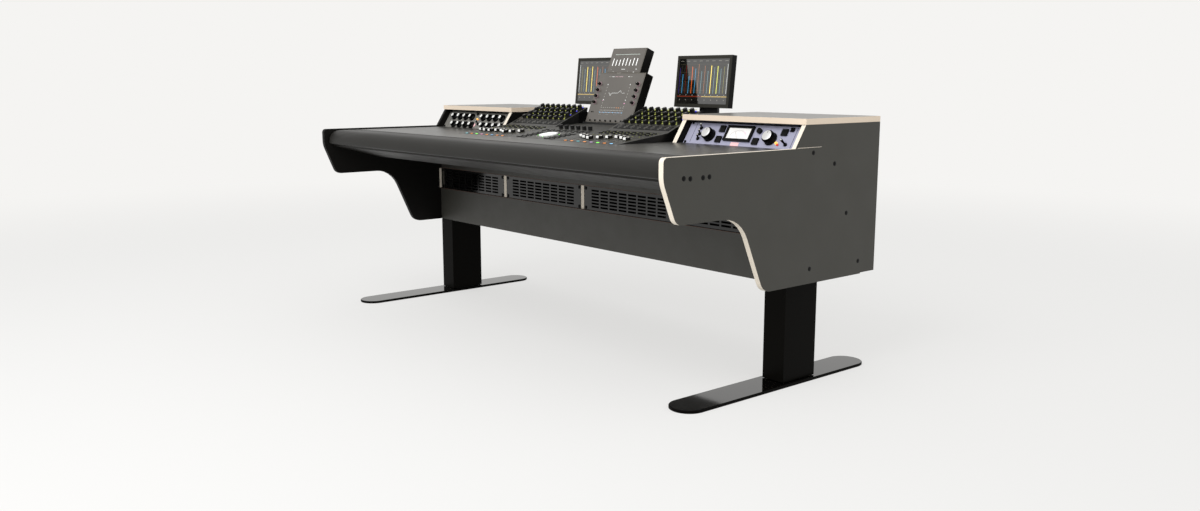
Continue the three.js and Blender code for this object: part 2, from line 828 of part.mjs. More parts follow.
// The centre module carries the jog wheel and a row of knobs, and stays low under the display.
function addCentreModule() {
  const slopes = [[centreBackY, slopeEndZ + centreBackRise]];
  const well = standingKnob(jogRadius + jogPlay, jogRadius + jogPlay, jogHeight + cutOverrun, jogSides);
  const wellDepth = jogHeight - jogRise + seatGap;
  const proud = [];
  for (let strip = 1; strip < strips - 1; strip += 1) {
    const knob = standingKnob(masterKnobRadius, masterKnobRadius, masterKnobHeight + keyHeight, bankKnobSides);
    proud.push(onDeskSlope(knob.translate(stripX(strip), masterKnobAlong, -keyHeight)));
  }
  for (let row = 0; row < keyRows - 1; row += 1) {
    for (let strip = 0; strip < strips; strip += 1) {
      proud.push(slopeKey(strip, keyRowStart - row * keyRowPitch, keyWidth, keyLength, keyHeight));
    }
  }
  const sunkWell = toSolid(onDeskSlope(well.translate(0, jogAlong, -wellDepth)));
  const body = moduleShell(slopes, centreBackY).add(joined(proud)).subtract(sunkWell);
  addPainted('centre_module', toGeometry(body), 'moulding');
  const slope = deskSlopeGroup(0, desk);
  const wheel = addPainted('jog_wheel', jogWheel(), 'cap', slope);
  wheel.position.set(0, jogAlong, jogRise - jogHeight);
}

// The jog wheel is turned with a shallow dish and a finger hollow near its rim.
function jogWheel() {
  const rim = jogRadius / 5;
  const dish = jogHeight / 6;
  const profile = [
    new THREE.Vector2(0, 0),
    new THREE.Vector2(jogRadius, 0),
    new THREE.Vector2(jogRadius, jogHeight - dish),
    new THREE.Vector2(jogRadius - dish, jogHeight),
    new THREE.Vector2(jogRadius - rim, jogHeight),
    new THREE.Vector2(jogRadius - rim - dish, jogHeight - dish),
    new THREE.Vector2(0, jogHeight - dish),
  ];
  const wheel = new THREE.LatheGeometry(profile, jogSides).rotateX(Math.PI / 2);
  const hollow = new THREE.SphereGeometry(rim, bankKnobSides * 2, bankKnobSides);
  return cutFrom(wheel, [hollow.translate(0, jogRadius - 2 * rim, jogHeight)]);
}

// The fixed half of a hinge: a base plate, two ears or a neck, and the pin between them.
function hingeStand(baseWidth, baseFront, baseBack, stemWidth, stemThickness, axisHeight) {
  const earInner = knuckleWidth / 2 + hingePlay;
  const earOuter = earInner + earThickness;
  const base = boxBetween(-baseWidth / 2, baseWidth / 2, baseFront, baseBack, 0, basePlateThickness);
  const stem = boxBetween(
    -stemWidth / 2, stemWidth / 2,
    -stemThickness / 2, stemThickness / 2,
    basePlateThickness / 2, axisHeight - 2 * hingeBarrelRadius,
  );
  const pieces = [base, stem, barrel(hingePinRadius, 2 * earOuter, hingeSides).translate(0, 0, axisHeight)];
  for (const side of [-1, 1]) {
    const x0 = Math.min(side * earInner, side * earOuter);
    const x1 = Math.max(side * earInner, side * earOuter);
    const half = stemThickness / 2;
    pieces.push(boxBetween(x0, x1, -half, half, basePlateThickness / 2, axisHeight));
    const round = barrel(hingeBarrelRadius, x1 - x0, hingeSides);
    pieces.push(round.translate((x0 + x1) / 2, 0, axisHeight));
  }
  return joinedGeometry(pieces);
}

// The moving half of a hinge: a round knuckle with its bore, and the web that joins it to a housing.
function withKnuckle(housing, axisY, axisZ, webY, webZ) {
  const knuckle = barrel(hingeBarrelRadius, knuckleWidth, hingeSides).translate(0, axisY, axisZ);
  const web = boxBetween(
    -knuckleWidth / 2, knuckleWidth / 2,
    Math.min(axisY - webY, axisY + webY), Math.max(axisY - webY, axisY + webY),
    Math.min(axisZ, webZ), Math.max(axisZ, webZ),
  );
  const bore = barrel(hingePinRadius + hingePlay, knuckleWidth + cutOverrun, hingeSides);
  const solid = toSolid(housing).add(toSolid(knuckle)).add(toSolid(web));
  return toGeometry(solid.subtract(toSolid(bore.translate(0, axisY, axisZ))));
}

// The centre display: a wide touch panel with a narrower meter panel above it and a knob column each side.
// A thin shield on its bracket closes the gap below it.
function addCentreDisplay() {
  const shape = roundedShape([
    [-displayWidth / 2, 0],
    [displayWidth / 2, 0],
    [displayWidth / 2, displayHeight],
    [meterWidth / 2, displayHeight],
    [meterWidth / 2, displayHeight + meterHeight],
    [-meterWidth / 2, displayHeight + meterHeight],
    [-meterWidth / 2, displayHeight],
    [-displayWidth / 2, displayHeight],
  ]);
  const upright = new THREE.Matrix4().makeBasis(
    new THREE.Vector3(1, 0, 0),
    new THREE.Vector3(0, 0, 1),
    new THREE.Vector3(0, -1, 0),
  );
  const housing = new THREE.ExtrudeGeometry(shape, { depth: displayThickness, bevelEnabled: false });
  housing.applyMatrix4(upright).translate(0, displayThickness, 0);
  const knobs = [];
  for (const side of [-1, 1]) {
    for (let row = 0; row < sideKnobRows; row += 1) {
      const knob = standingKnob(sideKnobRadius, sideKnobRadius, sideKnobHeight + keyHeight, bankKnobSides);
      knob.rotateX(Math.PI / 2).translate(
        side * (displayWidth / 2 - sideKnobInset),
        keyHeight,
        sideKnobStart + row * sideKnobPitch,
      );
      knobs.push(knob);
    }
  }
  const axisY = displayThickness / 2;
  const head = withKnuckle(joinedGeometry([housing, ...knobs]), axisY, -displayHingeDrop, hingeBarrelRadius, keyHeight);
  const group = new THREE.Group();
  group.position.set(0, displayFrontY, displayFrontZ);
  group.rotation.x = -displayTilt;
  desk.add(group);
  addPainted('centre_display', head, 'moulding', group);
  const axis = new THREE.Vector3(0, axisY, -displayHingeDrop).applyEuler(group.rotation).add(group.position);
  const baseZ = worktopZ + seatGap;
  const clearFront = Math.max(centreBackY + 2 * consolePlay - axis.y, -displayBaseDepth / 2);
  const stand = hingeStand(
    displayBaseWidth, clearFront, clearFront + displayBaseDepth,
    knuckleWidth, 2 * hingePinRadius, axis.z - baseZ,
  );
  const shield = boxBetween(
    -displayWidth / 2, displayWidth / 2,
    clearFront, clearFront + shieldThickness,
    0, displayFrontZ + shieldLap - baseZ,
  );
  addPainted('display_bracket', joinedGeometry([stand, shield]).translate(0, axis.y, baseZ), 'steel');
}

// A monitor head: a housing with a shallow screen recess, hinged behind its lower half.
function monitorHead() {
  const half = monitorWidth / 2;
  const housing = boxBetween(-half, half, 0, monitorThickness, 0, monitorHeight);
  const screen = boxBetween(
    -half + monitorBezel, half - monitorBezel,
    -cutOverrun, monitorScreenRecess,
    monitorBezel, monitorHeight - monitorBezel,
  );
  const axisY = monitorThickness + monitorHingeBack;
  const knuckle = barrel(hingeBarrelRadius, knuckleWidth, hingeSides).translate(0, axisY, monitorHingeUp);
  const web = boxBetween(
    -knuckleWidth / 2, knuckleWidth / 2,
    monitorThickness - monitorScreenRecess, axisY,
    monitorHingeUp - hingeBarrelRadius, monitorHingeUp + hingeBarrelRadius,
  );
  const bore = barrel(hingePinRadius + hingePlay, knuckleWidth + cutOverrun, hingeSides);
  const solid = toSolid(housing).subtract(toSolid(screen)).add(toSolid(knuckle)).add(toSolid(web));
  return toGeometry(solid.subtract(toSolid(bore.translate(0, axisY, monitorHingeUp))));
}

function addMonitors() {
  const axisY = monitorThickness + monitorHingeBack;
  for (const side of [-1, 1]) {
    const word = side < 0 ? 'left' : 'right';
    const group = new THREE.Group();
    group.position.set(side * monitorPlaceShare * modulePitch, monitorFrontY, monitorFrontZ);
    group.rotation.x = -monitorTilt;
    desk.add(group);
    addPainted(`monitor_${word}`, monitorHead(), 'screen', group);
    const axis = new THREE.Vector3(0, axisY, monitorHingeUp).applyEuler(group.rotation).add(group.position);
    const baseZ = worktopZ + seatGap;
    const baseBack = bodyBackY - monitorBackMargin - axis.y;
    const stand = hingeStand(
      monitorBaseWidth, baseBack - monitorBaseDepth, baseBack,
      neckWidth, neckThickness, axis.z - baseZ,
    );
    addPainted(`monitor_stand_${word}`, stand.translate(axis.x, axis.y, baseZ), 'steel');
  }
}

// A group whose z axis runs up the sloped front of a rack box and whose y axis runs into it.
function rackGroup(side) {
  const group = new THREE.Group();
  group.position.set(side * rackCentreX, cheekFootY + rackSetback, worktopZ - rackDrop);
  group.rotation.x = -slantAngle;
  desk.add(group);
  return group;
}

// A rack unit's front plate with the chassis behind it, open at the back, resting on the floor of the well.
function rackUnitBody() {
  const lowZ = (bayOpening - ventHeight) / 2;
  const highZ = lowZ + ventHeight;
  const chassisLowZ = lowZ + chassisMargin;
  const drop = worktopZ - rackDrop - wellFloorZ + chassisLowZ * Math.cos(slantAngle) - seatGap;
  const chassisBackY = drop / Math.sin(slantAngle);
  const plate = boxBetween(-rackFrontWidth / 2, rackFrontWidth / 2, 0, frontThickness, lowZ, highZ);
  const chassis = boxBetween(
    -rackFrontWidth / 2 + chassisInset, rackFrontWidth / 2 - chassisInset,
    frontThickness / 2, chassisBackY,
    chassisLowZ, highZ - chassisMargin,
  );
  const room = boxBetween(
    -rackFrontWidth / 2 + chassisInset + chassisWall, rackFrontWidth / 2 - chassisInset - chassisWall,
    frontThickness + chassisWall, chassisBackY + cutOverrun,
    chassisLowZ + chassisWall, highZ - chassisMargin - chassisWall,
  );
  return [plate, cutFrom(chassis, [room])];
}

// Turns a knob that stands on +Z so that it stands out of a sloped rack front.
function outOfFront(geometry, x, up, sunk) {
  return geometry.rotateX(Math.PI / 2).translate(x, sunk, up);
}

// A place on a rack front, from its shares of the front's width and height.
function onFront([xShare, upShare]) {
  return [xShare * rackFrontWidth, upShare * bayOpening];
}

function addCompressor() {
  const group = rackGroup(1);
  const pieces = rackUnitBody();
  const sunk = frontThickness / 2;
  const half = compressorButtonSize / 2;
  for (const share of compressorButtonShares) {
    const [x, up] = onFront(share);
    pieces.push(boxBetween(x - half, x + half, -compressorButtonHeight, sunk, up - half, up + half));
  }
  const [smallX, smallUp] = onFront(compressorSmallShare);
  const small = standingKnob(compressorSmallRadius, compressorSmallRadius, compressorKnobHeight / 2, equaliserKnobSides);
  pieces.push(outOfFront(small, smallX, smallUp, sunk));
  pieces.push(meterBezel(sunk));
  addPainted('compressor_unit', joinedGeometry(pieces), 'lilac', group);
  compressorKnobShares.forEach((xShare, index) => {
    const [x, up] = onFront([xShare, compressorKnobUpShare]);
    const name = `compressor_knob_${index + 1}`;
    const knob = addPainted(name, skirtedKnob().rotateX(Math.PI / 2), 'knob', group);
    knob.position.set(x, -seatGap, up);
  });
}

// The frame of the meter, open at the front, with its glass set back.
function meterBezel(sunk) {
  const [x, up] = onFront(meterBezelShare);
  const halfWidth = meterBezelWidth / 2;
  const halfHeight = meterBezelHeight / 2;
  const bezel = boxBetween(
    x - halfWidth, x + halfWidth,
    -meterBezelDepth, sunk,
    up - halfHeight, up + halfHeight,
  );
  const glass = boxBetween(
    x - halfWidth + meterBezelRim, x + halfWidth - meterBezelRim,
    -meterBezelDepth - cutOverrun, -meterBezelDepth / 2,
    up - halfHeight + meterBezelRim, up + halfHeight - meterBezelRim,
  );
  return cutFrom(bezel, [glass]);
}

// A turned knob with a wide skirt and a tapered grip.
function skirtedKnob() {
  const skirt = compressorKnobHeight / 4;
  const profile = [
    new THREE.Vector2(0, 0),
    new THREE.Vector2(compressorKnobRadius, 0),
    new THREE.Vector2(compressorKnobRadius, skirt / 2),
    new THREE.Vector2(compressorKnobTopRadius + skirt / 2, skirt),
    new THREE.Vector2(compressorKnobTopRadius, compressorKnobHeight - skirt / 4),
    new THREE.Vector2(compressorKnobTopRadius - skirt / 4, compressorKnobHeight),
    new THREE.Vector2(0, compressorKnobHeight),
  ];
  return new THREE.LatheGeometry(profile, compressorKnobSides).rotateX(Math.PI / 2);
}

function addEqualiser() {
  const group = rackGroup(-1);
  const pieces = rackUnitBody();
  for (const [leadShare, upShare] of equaliserRowShares) {
    for (const groupShare of equaliserGroupShares) {
      for (let index = 0; index < equaliserGroupKnobs; index += 1) {
        const [x, up] = onFront([groupShare + leadShare + index * equaliserPitchShare, upShare]);
        const knob = standingKnob(equaliserKnobRadius, equaliserKnobTopRadius, equaliserKnobHeight, equaliserKnobSides);
        pieces.push(outOfFront(knob, x, up, frontThickness / 2));
      }
    }
  }
  addPainted('equaliser_unit', joinedGeometry(pieces), 'grey', group);
}

addLegs();
addSidePanels();
addBodyBoards();
addBackPanel();
addBayUprights();
addVentPanels();
addSoffit();
addArmrest();
addWorktop();
addRackBoxes();
addCompressor();
addEqualiser();
addFaderModules();
addCentreModule();
addCentreDisplay();
addMonitors();

// The exported origin lies on the floor, below the middle of the overall box.
desk.position.y = -(sideFrontY + footFrontY + footLength) / 2;

export default desk;
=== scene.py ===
# Looks of a height-adjustable studio mixing desk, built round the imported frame, in metres.
import json
import math

import bmesh
import bpy
from mathutils import Euler, Matrix, Vector

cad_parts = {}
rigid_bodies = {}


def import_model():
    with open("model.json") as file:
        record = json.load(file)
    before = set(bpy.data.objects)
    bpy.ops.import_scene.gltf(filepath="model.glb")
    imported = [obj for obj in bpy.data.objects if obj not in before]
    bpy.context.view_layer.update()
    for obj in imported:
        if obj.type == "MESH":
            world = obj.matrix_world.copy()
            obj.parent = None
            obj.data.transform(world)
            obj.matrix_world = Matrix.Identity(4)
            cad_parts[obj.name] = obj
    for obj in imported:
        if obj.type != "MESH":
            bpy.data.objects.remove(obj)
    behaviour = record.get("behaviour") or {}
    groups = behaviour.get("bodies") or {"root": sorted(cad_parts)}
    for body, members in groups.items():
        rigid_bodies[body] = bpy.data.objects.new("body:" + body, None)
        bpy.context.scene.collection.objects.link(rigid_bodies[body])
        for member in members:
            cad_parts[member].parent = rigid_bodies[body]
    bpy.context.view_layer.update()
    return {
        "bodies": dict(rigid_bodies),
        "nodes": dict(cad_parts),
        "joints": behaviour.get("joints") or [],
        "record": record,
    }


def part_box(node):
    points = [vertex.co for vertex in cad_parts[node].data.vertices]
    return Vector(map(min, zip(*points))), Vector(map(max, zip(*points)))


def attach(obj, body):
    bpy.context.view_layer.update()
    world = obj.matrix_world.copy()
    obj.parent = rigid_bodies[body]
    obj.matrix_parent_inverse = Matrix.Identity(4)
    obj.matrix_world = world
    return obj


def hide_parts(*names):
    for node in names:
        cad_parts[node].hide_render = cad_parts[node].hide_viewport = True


# The frame moves the part's own Y by this much.
SHIFT_Y = 0.1305
SIDES = {-1: "left", 1: "right"}

# Camera
CAMERA_PLACE = (2.97527, -2.35037, 0.9445)
CAMERA_AZIMUTH = 49.89
CAMERA_PITCH = 9.82
CAMERA_LENS = 30.779
CAMERA_SENSOR = 36.0
CAMERA_REACH = 60.0

# Furniture
WORKTOP_Z = 0.732
HALF_WIDTH = 1.019
BOARD = 0.018

# Console
CONSOLE_FRONT_Y = -0.303 + SHIFT_Y
CONSOLE_FRONT_Z = 0.7305
SLOPE_RUN = 0.235
SLOPE_RISE = 0.03
BANK_RUN = 0.163
BANK_RISE = 0.0725
DESK_SLOPE = math.atan2(SLOPE_RISE, SLOPE_RUN)
BANK_SLOPE = math.atan2(BANK_RISE, BANK_RUN)
MODULE_PITCH = 0.31
STRIPS = 8
STRIP_PITCH = 0.0345
SELECT_START = 0.01
SELECT_HEIGHT = 0.001
SLOT_START = 0.032
KEY_ROWS = (0.17, 0.188, 0.206)
KEY_HEIGHT = 0.0025
BANK_ROWS = 4
BANK_ROW_START = 0.064
BANK_ROW_PITCH = 0.034
JOG_ALONG = 0.086
JOG_RADIUS = 0.035
JOG_RISE = 0.005

# Rack boxes
BOX_RISE = 0.0745
RACK_OPENING = 0.0889
SLANT_RUN = math.sqrt(RACK_OPENING**2 - BOX_RISE**2)
SLANT_ANGLE = math.atan2(SLANT_RUN, BOX_RISE)
RACK_X = 0.7575
RACK_EDGE_Y = -0.027
RACK_SET_BACK = 0.027
RACK_FOOT_Y = RACK_EDGE_Y - SLANT_RUN + RACK_SET_BACK + SHIFT_Y
RACK_SINK = 0.004
RACK_FOOT_Z = WORKTOP_Z - RACK_SINK
RACK_FRONT_WIDTH = 0.4826

# Displays
DISPLAY_FRONT_Y = 0.0625 + SHIFT_Y
DISPLAY_FRONT_Z = 0.7775
DISPLAY_TILT = math.radians(22.3)
DISPLAY_WIDTH = 0.2641
DISPLAY_HEIGHT = 0.201
METER_WIDTH = 0.1931
METER_HEIGHT = 0.1
MONITOR_X = 0.2982
MONITOR_WIDTH = 0.2759
MONITOR_HEIGHT = 0.189
MONITOR_FRONT_Y = 0.2555 + SHIFT_Y
MONITOR_FRONT_Z = 0.838
MONITOR_TILT = math.radians(6)
MONITOR_BEZEL = 0.012
SCREEN_RECESS = 0.0015

# Fader caps
CAP_DIP_Z = 0.0035
CAP_SKIRT = 0.0034
CAP_CREST = 0.0102
CAP_FRONT_SHARE = 0.3

# Vents
VENT_FRONT_Y = -0.06 + SHIFT_Y
VENT_FOOT_Z = 0.4589
VENT_HEIGHT = 0.0881
BAY_PITCH = 0.505
BAYS = 4


# Materials

# Sockets of the mix node that mixes colours
MIX_INPUTS = (0, 6, 7)
MIX_OUTPUT = 2

# Bands per metre of a wave texture with a scale of 1
WAVES = 3.18
PLY_LAYER = 0.0028
GRAIN_PLAY = 0.06
# Strength and distance of the bumps
GRAIN_BUMP = (0.4, 0.00005)
LAMINATE_BUMP = (0.25, 0.00004)
LEATHER_BUMP = (0.3, 0.0001)
MOULDED_BUMP = (0.25, 0.00003)
BRUSHED_BUMP = (0.2, 0.00002)
BROAD_GRAIN = 40
KNOB_GRAIN = (0.04, 1600)
PROUD_OF_RACK = 0.0008
SCREEN_MIRROR = 0.9
SCREEN_IOR = 1.75


def srgb(red, green, blue):
    """Linear colour of an 8-bit screen colour."""
    shares = [value / 255 for value in (red, green, blue)]
    return tuple(s / 12.92 if s <= 0.04045 else ((s + 0.055) / 1.055) ** 2.4 for s in shares)


CONSOLE_GREY = srgb(50, 49, 45)
# Painted shade on the side faces of the console moulding.
CONSOLE_SIDE_SHADE = srgb(12, 12, 11)
KEY_GREY = srgb(24, 24, 22)
KNOB_BLACK = srgb(7, 7, 7)
# Painted shade on the faces of the display and monitor casings that do not face front or back.
CASING_SIDE_SHADE = srgb(5, 5, 4)
FOOT_BLACK = srgb(5, 4, 3)
# Painted shade for the caps' flanks, skirts and dips, and a painted highlight for their rear crest;
# the white is the caps' own colour.
CAP_SHADE_TONE = srgb(14, 14, 13)
CAP_HIGHLIGHT_TONE = srgb(206, 203, 196)
CAP_WHITE = srgb(250, 250, 246)
LAMINATE = srgb(64, 63, 58)
DARK_LAMINATE = srgb(55, 54, 49)
PALE_PLY = srgb(236, 226, 210)
# Black of the left side panel's ply edges: painted shade, where the same edges of the right panel are
# pale ply.
LEFT_EDGE_SHADE = srgb(10, 9, 8)
TOP_GREY = srgb(112, 110, 106)
TOP_EDGE = srgb(238, 220, 198)


def shaded(color, factor):
    return tuple(min(1.0, channel * factor) for channel in color)


def tones(color, play):
    """A darker and a lighter tone of a colour."""
    return shaded(color, 1 - play), shaded(color, 1 + play)


def ends(value, play):
    """The ends of a value's play."""
    return value * (1 - play), value * (1 + play)


def add_node(tree, kind, *ordered, operation=None, **named):
    """A new node whose inputs take values or the outputs of other nodes."""
    node = tree.nodes.new(kind)
    if operation:
        node.operation = operation
    feed(tree, node, dict(enumerate(ordered)))
    feed(tree, node, {key.replace("_", " "): value for key, value in named.items()})
    return node


def feed(tree, node, values):
    """Gives inputs of a node a value each, or links an output to them."""
    for key, value in values.items():
        if isinstance(value, bpy.types.NodeSocket):
            tree.links.new(value, node.inputs[key])
        else:
            node.inputs[key].default_value = value


class Shader:
    """A material with a Principled surface and short calls for its nodes."""

    def __init__(self, name):
        self.material = bpy.data.materials.new(name)
        self.material.use_nodes = True
        self.tree = self.material.node_tree
        self.surface = self.tree.nodes["Principled BSDF"]
        self.place = self.add("ShaderNodeTexCoord").outputs["Object"]

    def add(self, kind, *ordered, **named):
        return add_node(self.tree, kind, *ordered, **named)

    def math(self, operation, *values):
        return self.add("ShaderNodeMath", *values, operation=operation).outputs[0]

    def set(self, **values):
        """Sets or links inputs of the surface."""
        feed(self.tree, self.surface, {key.replace("_", " "): value for key, value in values.items()})

    def noise(self, scale, detail=3.0, stretch=(1, 1, 1)):
        mapping = self.add("ShaderNodeMapping", Vector=self.place, Scale=stretch)
        vector = mapping.outputs["Vector"]
        return self.add("ShaderNodeTexNoise", Vector=vector, Scale=scale, Detail=detail).outputs["Fac"]

    def bands(self, direction, period, distortion):
        scale = 1 / (period * WAVES)
        wave = self.add(
            "ShaderNodeTexWave", Vector=self.place, Scale=scale, Distortion=distortion, Detail=2.0
        )
        wave.bands_direction = direction
        return wave.outputs["Fac"]

    def cells(self, scale):
        return self.add("ShaderNodeTexVoronoi", Vector=self.place, Scale=scale).outputs["Distance"]

    def ramp(self, source, low, high, start=0.3, end=0.7):
        """A colour between two, as the source goes from start to end."""
        node = self.add("ShaderNodeValToRGB", Fac=source)
        for element, place, color in zip(node.color_ramp.elements, (start, end), (low, high)):
            element.position = place
            element.color = (*color, 1)
        return node.outputs["Color"]

    def spread(self, source, low, high, start=0.3, end=0.7):
        """A number between two, as the source goes from start to end."""
        return self.add(
            "ShaderNodeMapRange", Value=source, From_Min=start, From_Max=end, To_Min=low, To_Max=high
        ).outputs["Result"]

    def choose(self, mask, off, on):
        """One number where a mask is 0 and another where it is 1."""
        return self.spread(mask, off, on, 0.0, 1.0)

    def mix(self, share, first, second):
        node = self.add("ShaderNodeMix")
        node.data_type = "RGBA"
        feed(self.tree, node, dict(zip(MIX_INPUTS, (share, first, second))))
        return node.outputs[MIX_OUTPUT]

    def speckled(self, color, play=GRAIN_PLAY, scale=1100):
        """A tone with a fine grain."""
        return self.ramp(self.noise(scale, 4.0), *tones(color, play))

    def facing(self, axis, limit=0.5):
        """1 where the surface faces along an axis, either way, and 0 elsewhere."""
        normal = self.add("ShaderNodeNewGeometry").outputs["Normal"]
        share = self.add("ShaderNodeSeparateXYZ", normal).outputs[axis]
        return self.math("GREATER_THAN", self.math("ABSOLUTE", share), limit)

    def above(self, normal, point, rise):
        """1 where the surface lies more than a rise above a plane through a point, and 0 elsewhere."""
        height = self.add("ShaderNodeVectorMath", self.place, normal, operation="DOT_PRODUCT")
        limit = Vector(normal).dot(Vector(point)) + rise
        return self.math("GREATER_THAN", height.outputs["Value"], limit)

    def both(self, first, second):
        return self.math("MULTIPLY", first, second)

    def front_part(self, share):
        """1 on the front share of a piece's own length along Y, and 0 behind it."""
        along = self.add("ShaderNodeTexCoord").outputs["Generated"]
        return self.math("LESS_THAN", self.add("ShaderNodeSeparateXYZ", along).outputs["Y"], share)

    def bump(self, source, strength, distance):
        node = self.add("ShaderNodeBump", Height=source, Strength=strength, Distance=distance)
        self.set(Normal=node.outputs["Normal"])

    def moulded(self, scale=1400):
        """The faint unevenness of moulded plastic or enamel."""
        self.bump(self.noise(scale), *MOULDED_BUMP)

    def finished(self, color, roughness, spec=0.5):
        """Gives the surface its colour, roughness and specular level, and hands the material back."""
        self.set(Base_Color=color, Roughness=roughness, Specular_IOR_Level=spec)
        return self.material


def grained(name, color, roughness, scale, spec=0.5):
    """A surface with a fine mottled grain in its colour, roughness and height."""
    shader = Shader(name)
    fine = shader.noise(scale, 4.0)
    broad = shader.noise(scale / BROAD_GRAIN, 2.0)
    tone = shader.ramp(fine, *tones(color, GRAIN_PLAY))
    worn = shader.ramp(broad, *tones(color, GRAIN_PLAY / 2))
    shader.bump(fine, *GRAIN_BUMP)
    rough = shader.spread(broad, *ends(roughness, 0.08))
    return shader.finished(shader.mix(0.5, tone, worn), rough, spec)


def edge_banded(name, face, edge, axis, roughness, spec=0.35):
    """Laminate on the faces along an axis, and plywood layers on the cut edges."""
    shader = Shader(name)
    fine = shader.noise(900, 4.0)
    face_tone = shader.ramp(fine, *tones(face, 0.07))
    layers = shader.bands(axis, PLY_LAYER, 0.6)
    edge_tone = shader.ramp(layers, shaded(edge, 0.82), shaded(edge, 1.04), 0.2, 0.8)
    tone = shader.mix(shader.facing(axis), edge_tone, face_tone)
    rough = shader.spread(shader.noise(9, 2.0), *ends(roughness, 0.06))
    shader.bump(fine, *LAMINATE_BUMP)
    return shader.finished(tone, rough, spec)


def leather(name, color):
    """Fine pebbled cover with a soft sheen."""
    shader = Shader(name)
    broad = shader.noise(7, 3.0, (0.3, 1, 1))
    tone = shader.ramp(broad, *tones(color, 0.1))
    rough = shader.spread(broad, 0.44, 0.56)
    shader.bump(shader.cells(650), *LEATHER_BUMP)
    shader.set(Sheen_Weight=0.02, Sheen_Roughness=0.5)
    return shader.finished(tone, rough, 0.22)


def foot_material():
    """Black enamel, glossy on the flat top of a foot plate and dull on its rim."""
    shader = Shader("gloss_black_enamel")
    top = shader.facing("Z", 0.985)
    rough = shader.choose(top, 0.5, 0.06)
    spec = shader.choose(top, 0.04, 0.38)
    shader.set(Coat_Weight=shader.choose(top, 0.0, 0.14), Coat_Roughness=0.06)
    return shader.finished(shader.speckled(FOOT_BLACK), rough, spec)


def screen_glass(name, color, glow=0.0):
    """Glossy screen glass that mirrors the room, dark or lit from behind in one tone."""
    shader = Shader(name)
    tone = shader.ramp(shader.noise(60, 2.0), *tones(color, 0.04))
    shader.set(Emission_Color=tone, Emission_Strength=glow, IOR=SCREEN_IOR)
    return shader.finished(tone, 0.06, SCREEN_MIRROR)


def lit(name, color, strength):
    """A small lit window or lamp; also a glowing mark that stands for a painted highlight."""
    shader = Shader(name)
    tone = shader.ramp(shader.noise(1500, 2.0), shaded(color, 0.92), color)
    shader.set(Emission_Color=tone, Emission_Strength=strength)
    return shader.finished(tone, 0.35)


def slope_normal(tilt):
    return (0, -math.sin(tilt), math.cos(tilt))


def out_of_rack():
    return (0, -math.cos(SLANT_ANGLE), math.sin(SLANT_ANGLE))


def console_material():
    """Grey moulding with darker keys on the slope and black knobs on the bank; its near black faces
    across X are painted shade.
    """
    slope = (slope_normal(DESK_SLOPE), (0, CONSOLE_FRONT_Y, CONSOLE_FRONT_Z), KEY_HEIGHT / 2)
    bank_foot = (0, CONSOLE_FRONT_Y + SLOPE_RUN, CONSOLE_FRONT_Z + SLOPE_RISE)
    bank = (slope_normal(BANK_SLOPE), bank_foot, KEY_HEIGHT / 2)
    shader = Shader("console_moulding")
    raised = shader.both(shader.above(*slope), shader.above(*bank))
    keys = shader.speckled(KEY_GREY)
    proud = shader.mix(shader.above(*bank), keys, shader.speckled(KNOB_BLACK, *KNOB_GRAIN))
    top = shader.mix(raised, shader.speckled(CONSOLE_GREY), proud)
    # Faces across X take the painted shade.
    tone = shader.mix(shader.facing("X", 0.9), top, shader.speckled(CONSOLE_SIDE_SHADE))
    shader.moulded()
    rough = shader.spread(shader.noise(30, 2.0), 0.38, 0.44)
    return shader.finished(tone, rough, 0.35)


def cap_material():
    """Fader caps with a white front; the pale rear crest is a painted highlight, and the dark flanks,
    skirts and dips are painted shade.
    """
    shader = Shader("fader_cap")
    slope = (slope_normal(DESK_SLOPE), (0, CONSOLE_FRONT_Y, CONSOLE_FRONT_Z))
    # Painted shade below the skirt line, across the dip and on the flanks; painted highlight on the
    # rear crest.
    dark = shader.speckled(CAP_SHADE_TONE)
    front = shader.both(shader.above(*slope, CAP_SKIRT), shader.front_part(CAP_FRONT_SHARE))
    crest_highlight_and_shade = shader.mix(shader.above(*slope, CAP_CREST), dark, shader.speckled(CAP_HIGHLIGHT_TONE, 0.03))
    upper = shader.mix(front, crest_highlight_and_shade, shader.speckled(CAP_WHITE, 0.03))
    rough = shader.spread(shader.noise(40, 2.0), 0.38, 0.46)
    tone = shader.mix(shader.facing("X"), upper, dark)
    return shader.finished(tone, rough, 0.3)


def rack_material(name, color):
    """Enamel on a rack unit's front and black on what stands proud of it."""
    shader = Shader(name)
    proud = shader.above(out_of_rack(), (0, RACK_FOOT_Y, RACK_FOOT_Z), PROUD_OF_RACK)
    tone = shader.mix(proud, shader.speckled(color), shader.speckled(KNOB_BLACK, *KNOB_GRAIN))
    shader.moulded()
    return shader.finished(tone, 0.36, 0.1)


def casing_material(name, front_color):
    """A satin casing with a tone of its own on its front and back, and painted shade in black on its
    other faces.
    """
    shader = Shader(name)
    front = shader.facing("Y", 0.6)
    tone = shader.mix(front, shader.speckled(CASING_SIDE_SHADE), shader.speckled(front_color))
    rough = shader.spread(shader.noise(30, 2.0), 0.36, 0.44)
    shader.moulded(1500)
    return shader.finished(tone, rough, 0.12)


def brushed(name, color, roughness):
    """Turned metal with fine rings across its face."""
    shader = Shader(name)
    rings = shader.noise(2400, 2.0, (1, 1, 0.06))
    tone = shader.ramp(rings, shaded(color, 0.9), shaded(color, 1.05))
    shader.bump(rings, *BRUSHED_BUMP)
    shader.set(Metallic=1.0)
    return shader.finished(tone, shader.spread(rings, *ends(roughness, 0.2)))


def mirror_black(name, color, roughness):
    """Smooth dark glass or lacquer with a faint unevenness."""
    shader = Shader(name)
    broad = shader.noise(14, 2.0)
    tone = shader.ramp(broad, *tones(color, 0.06))
    return shader.finished(tone, shader.spread(broad, *ends(roughness, 0.1)))


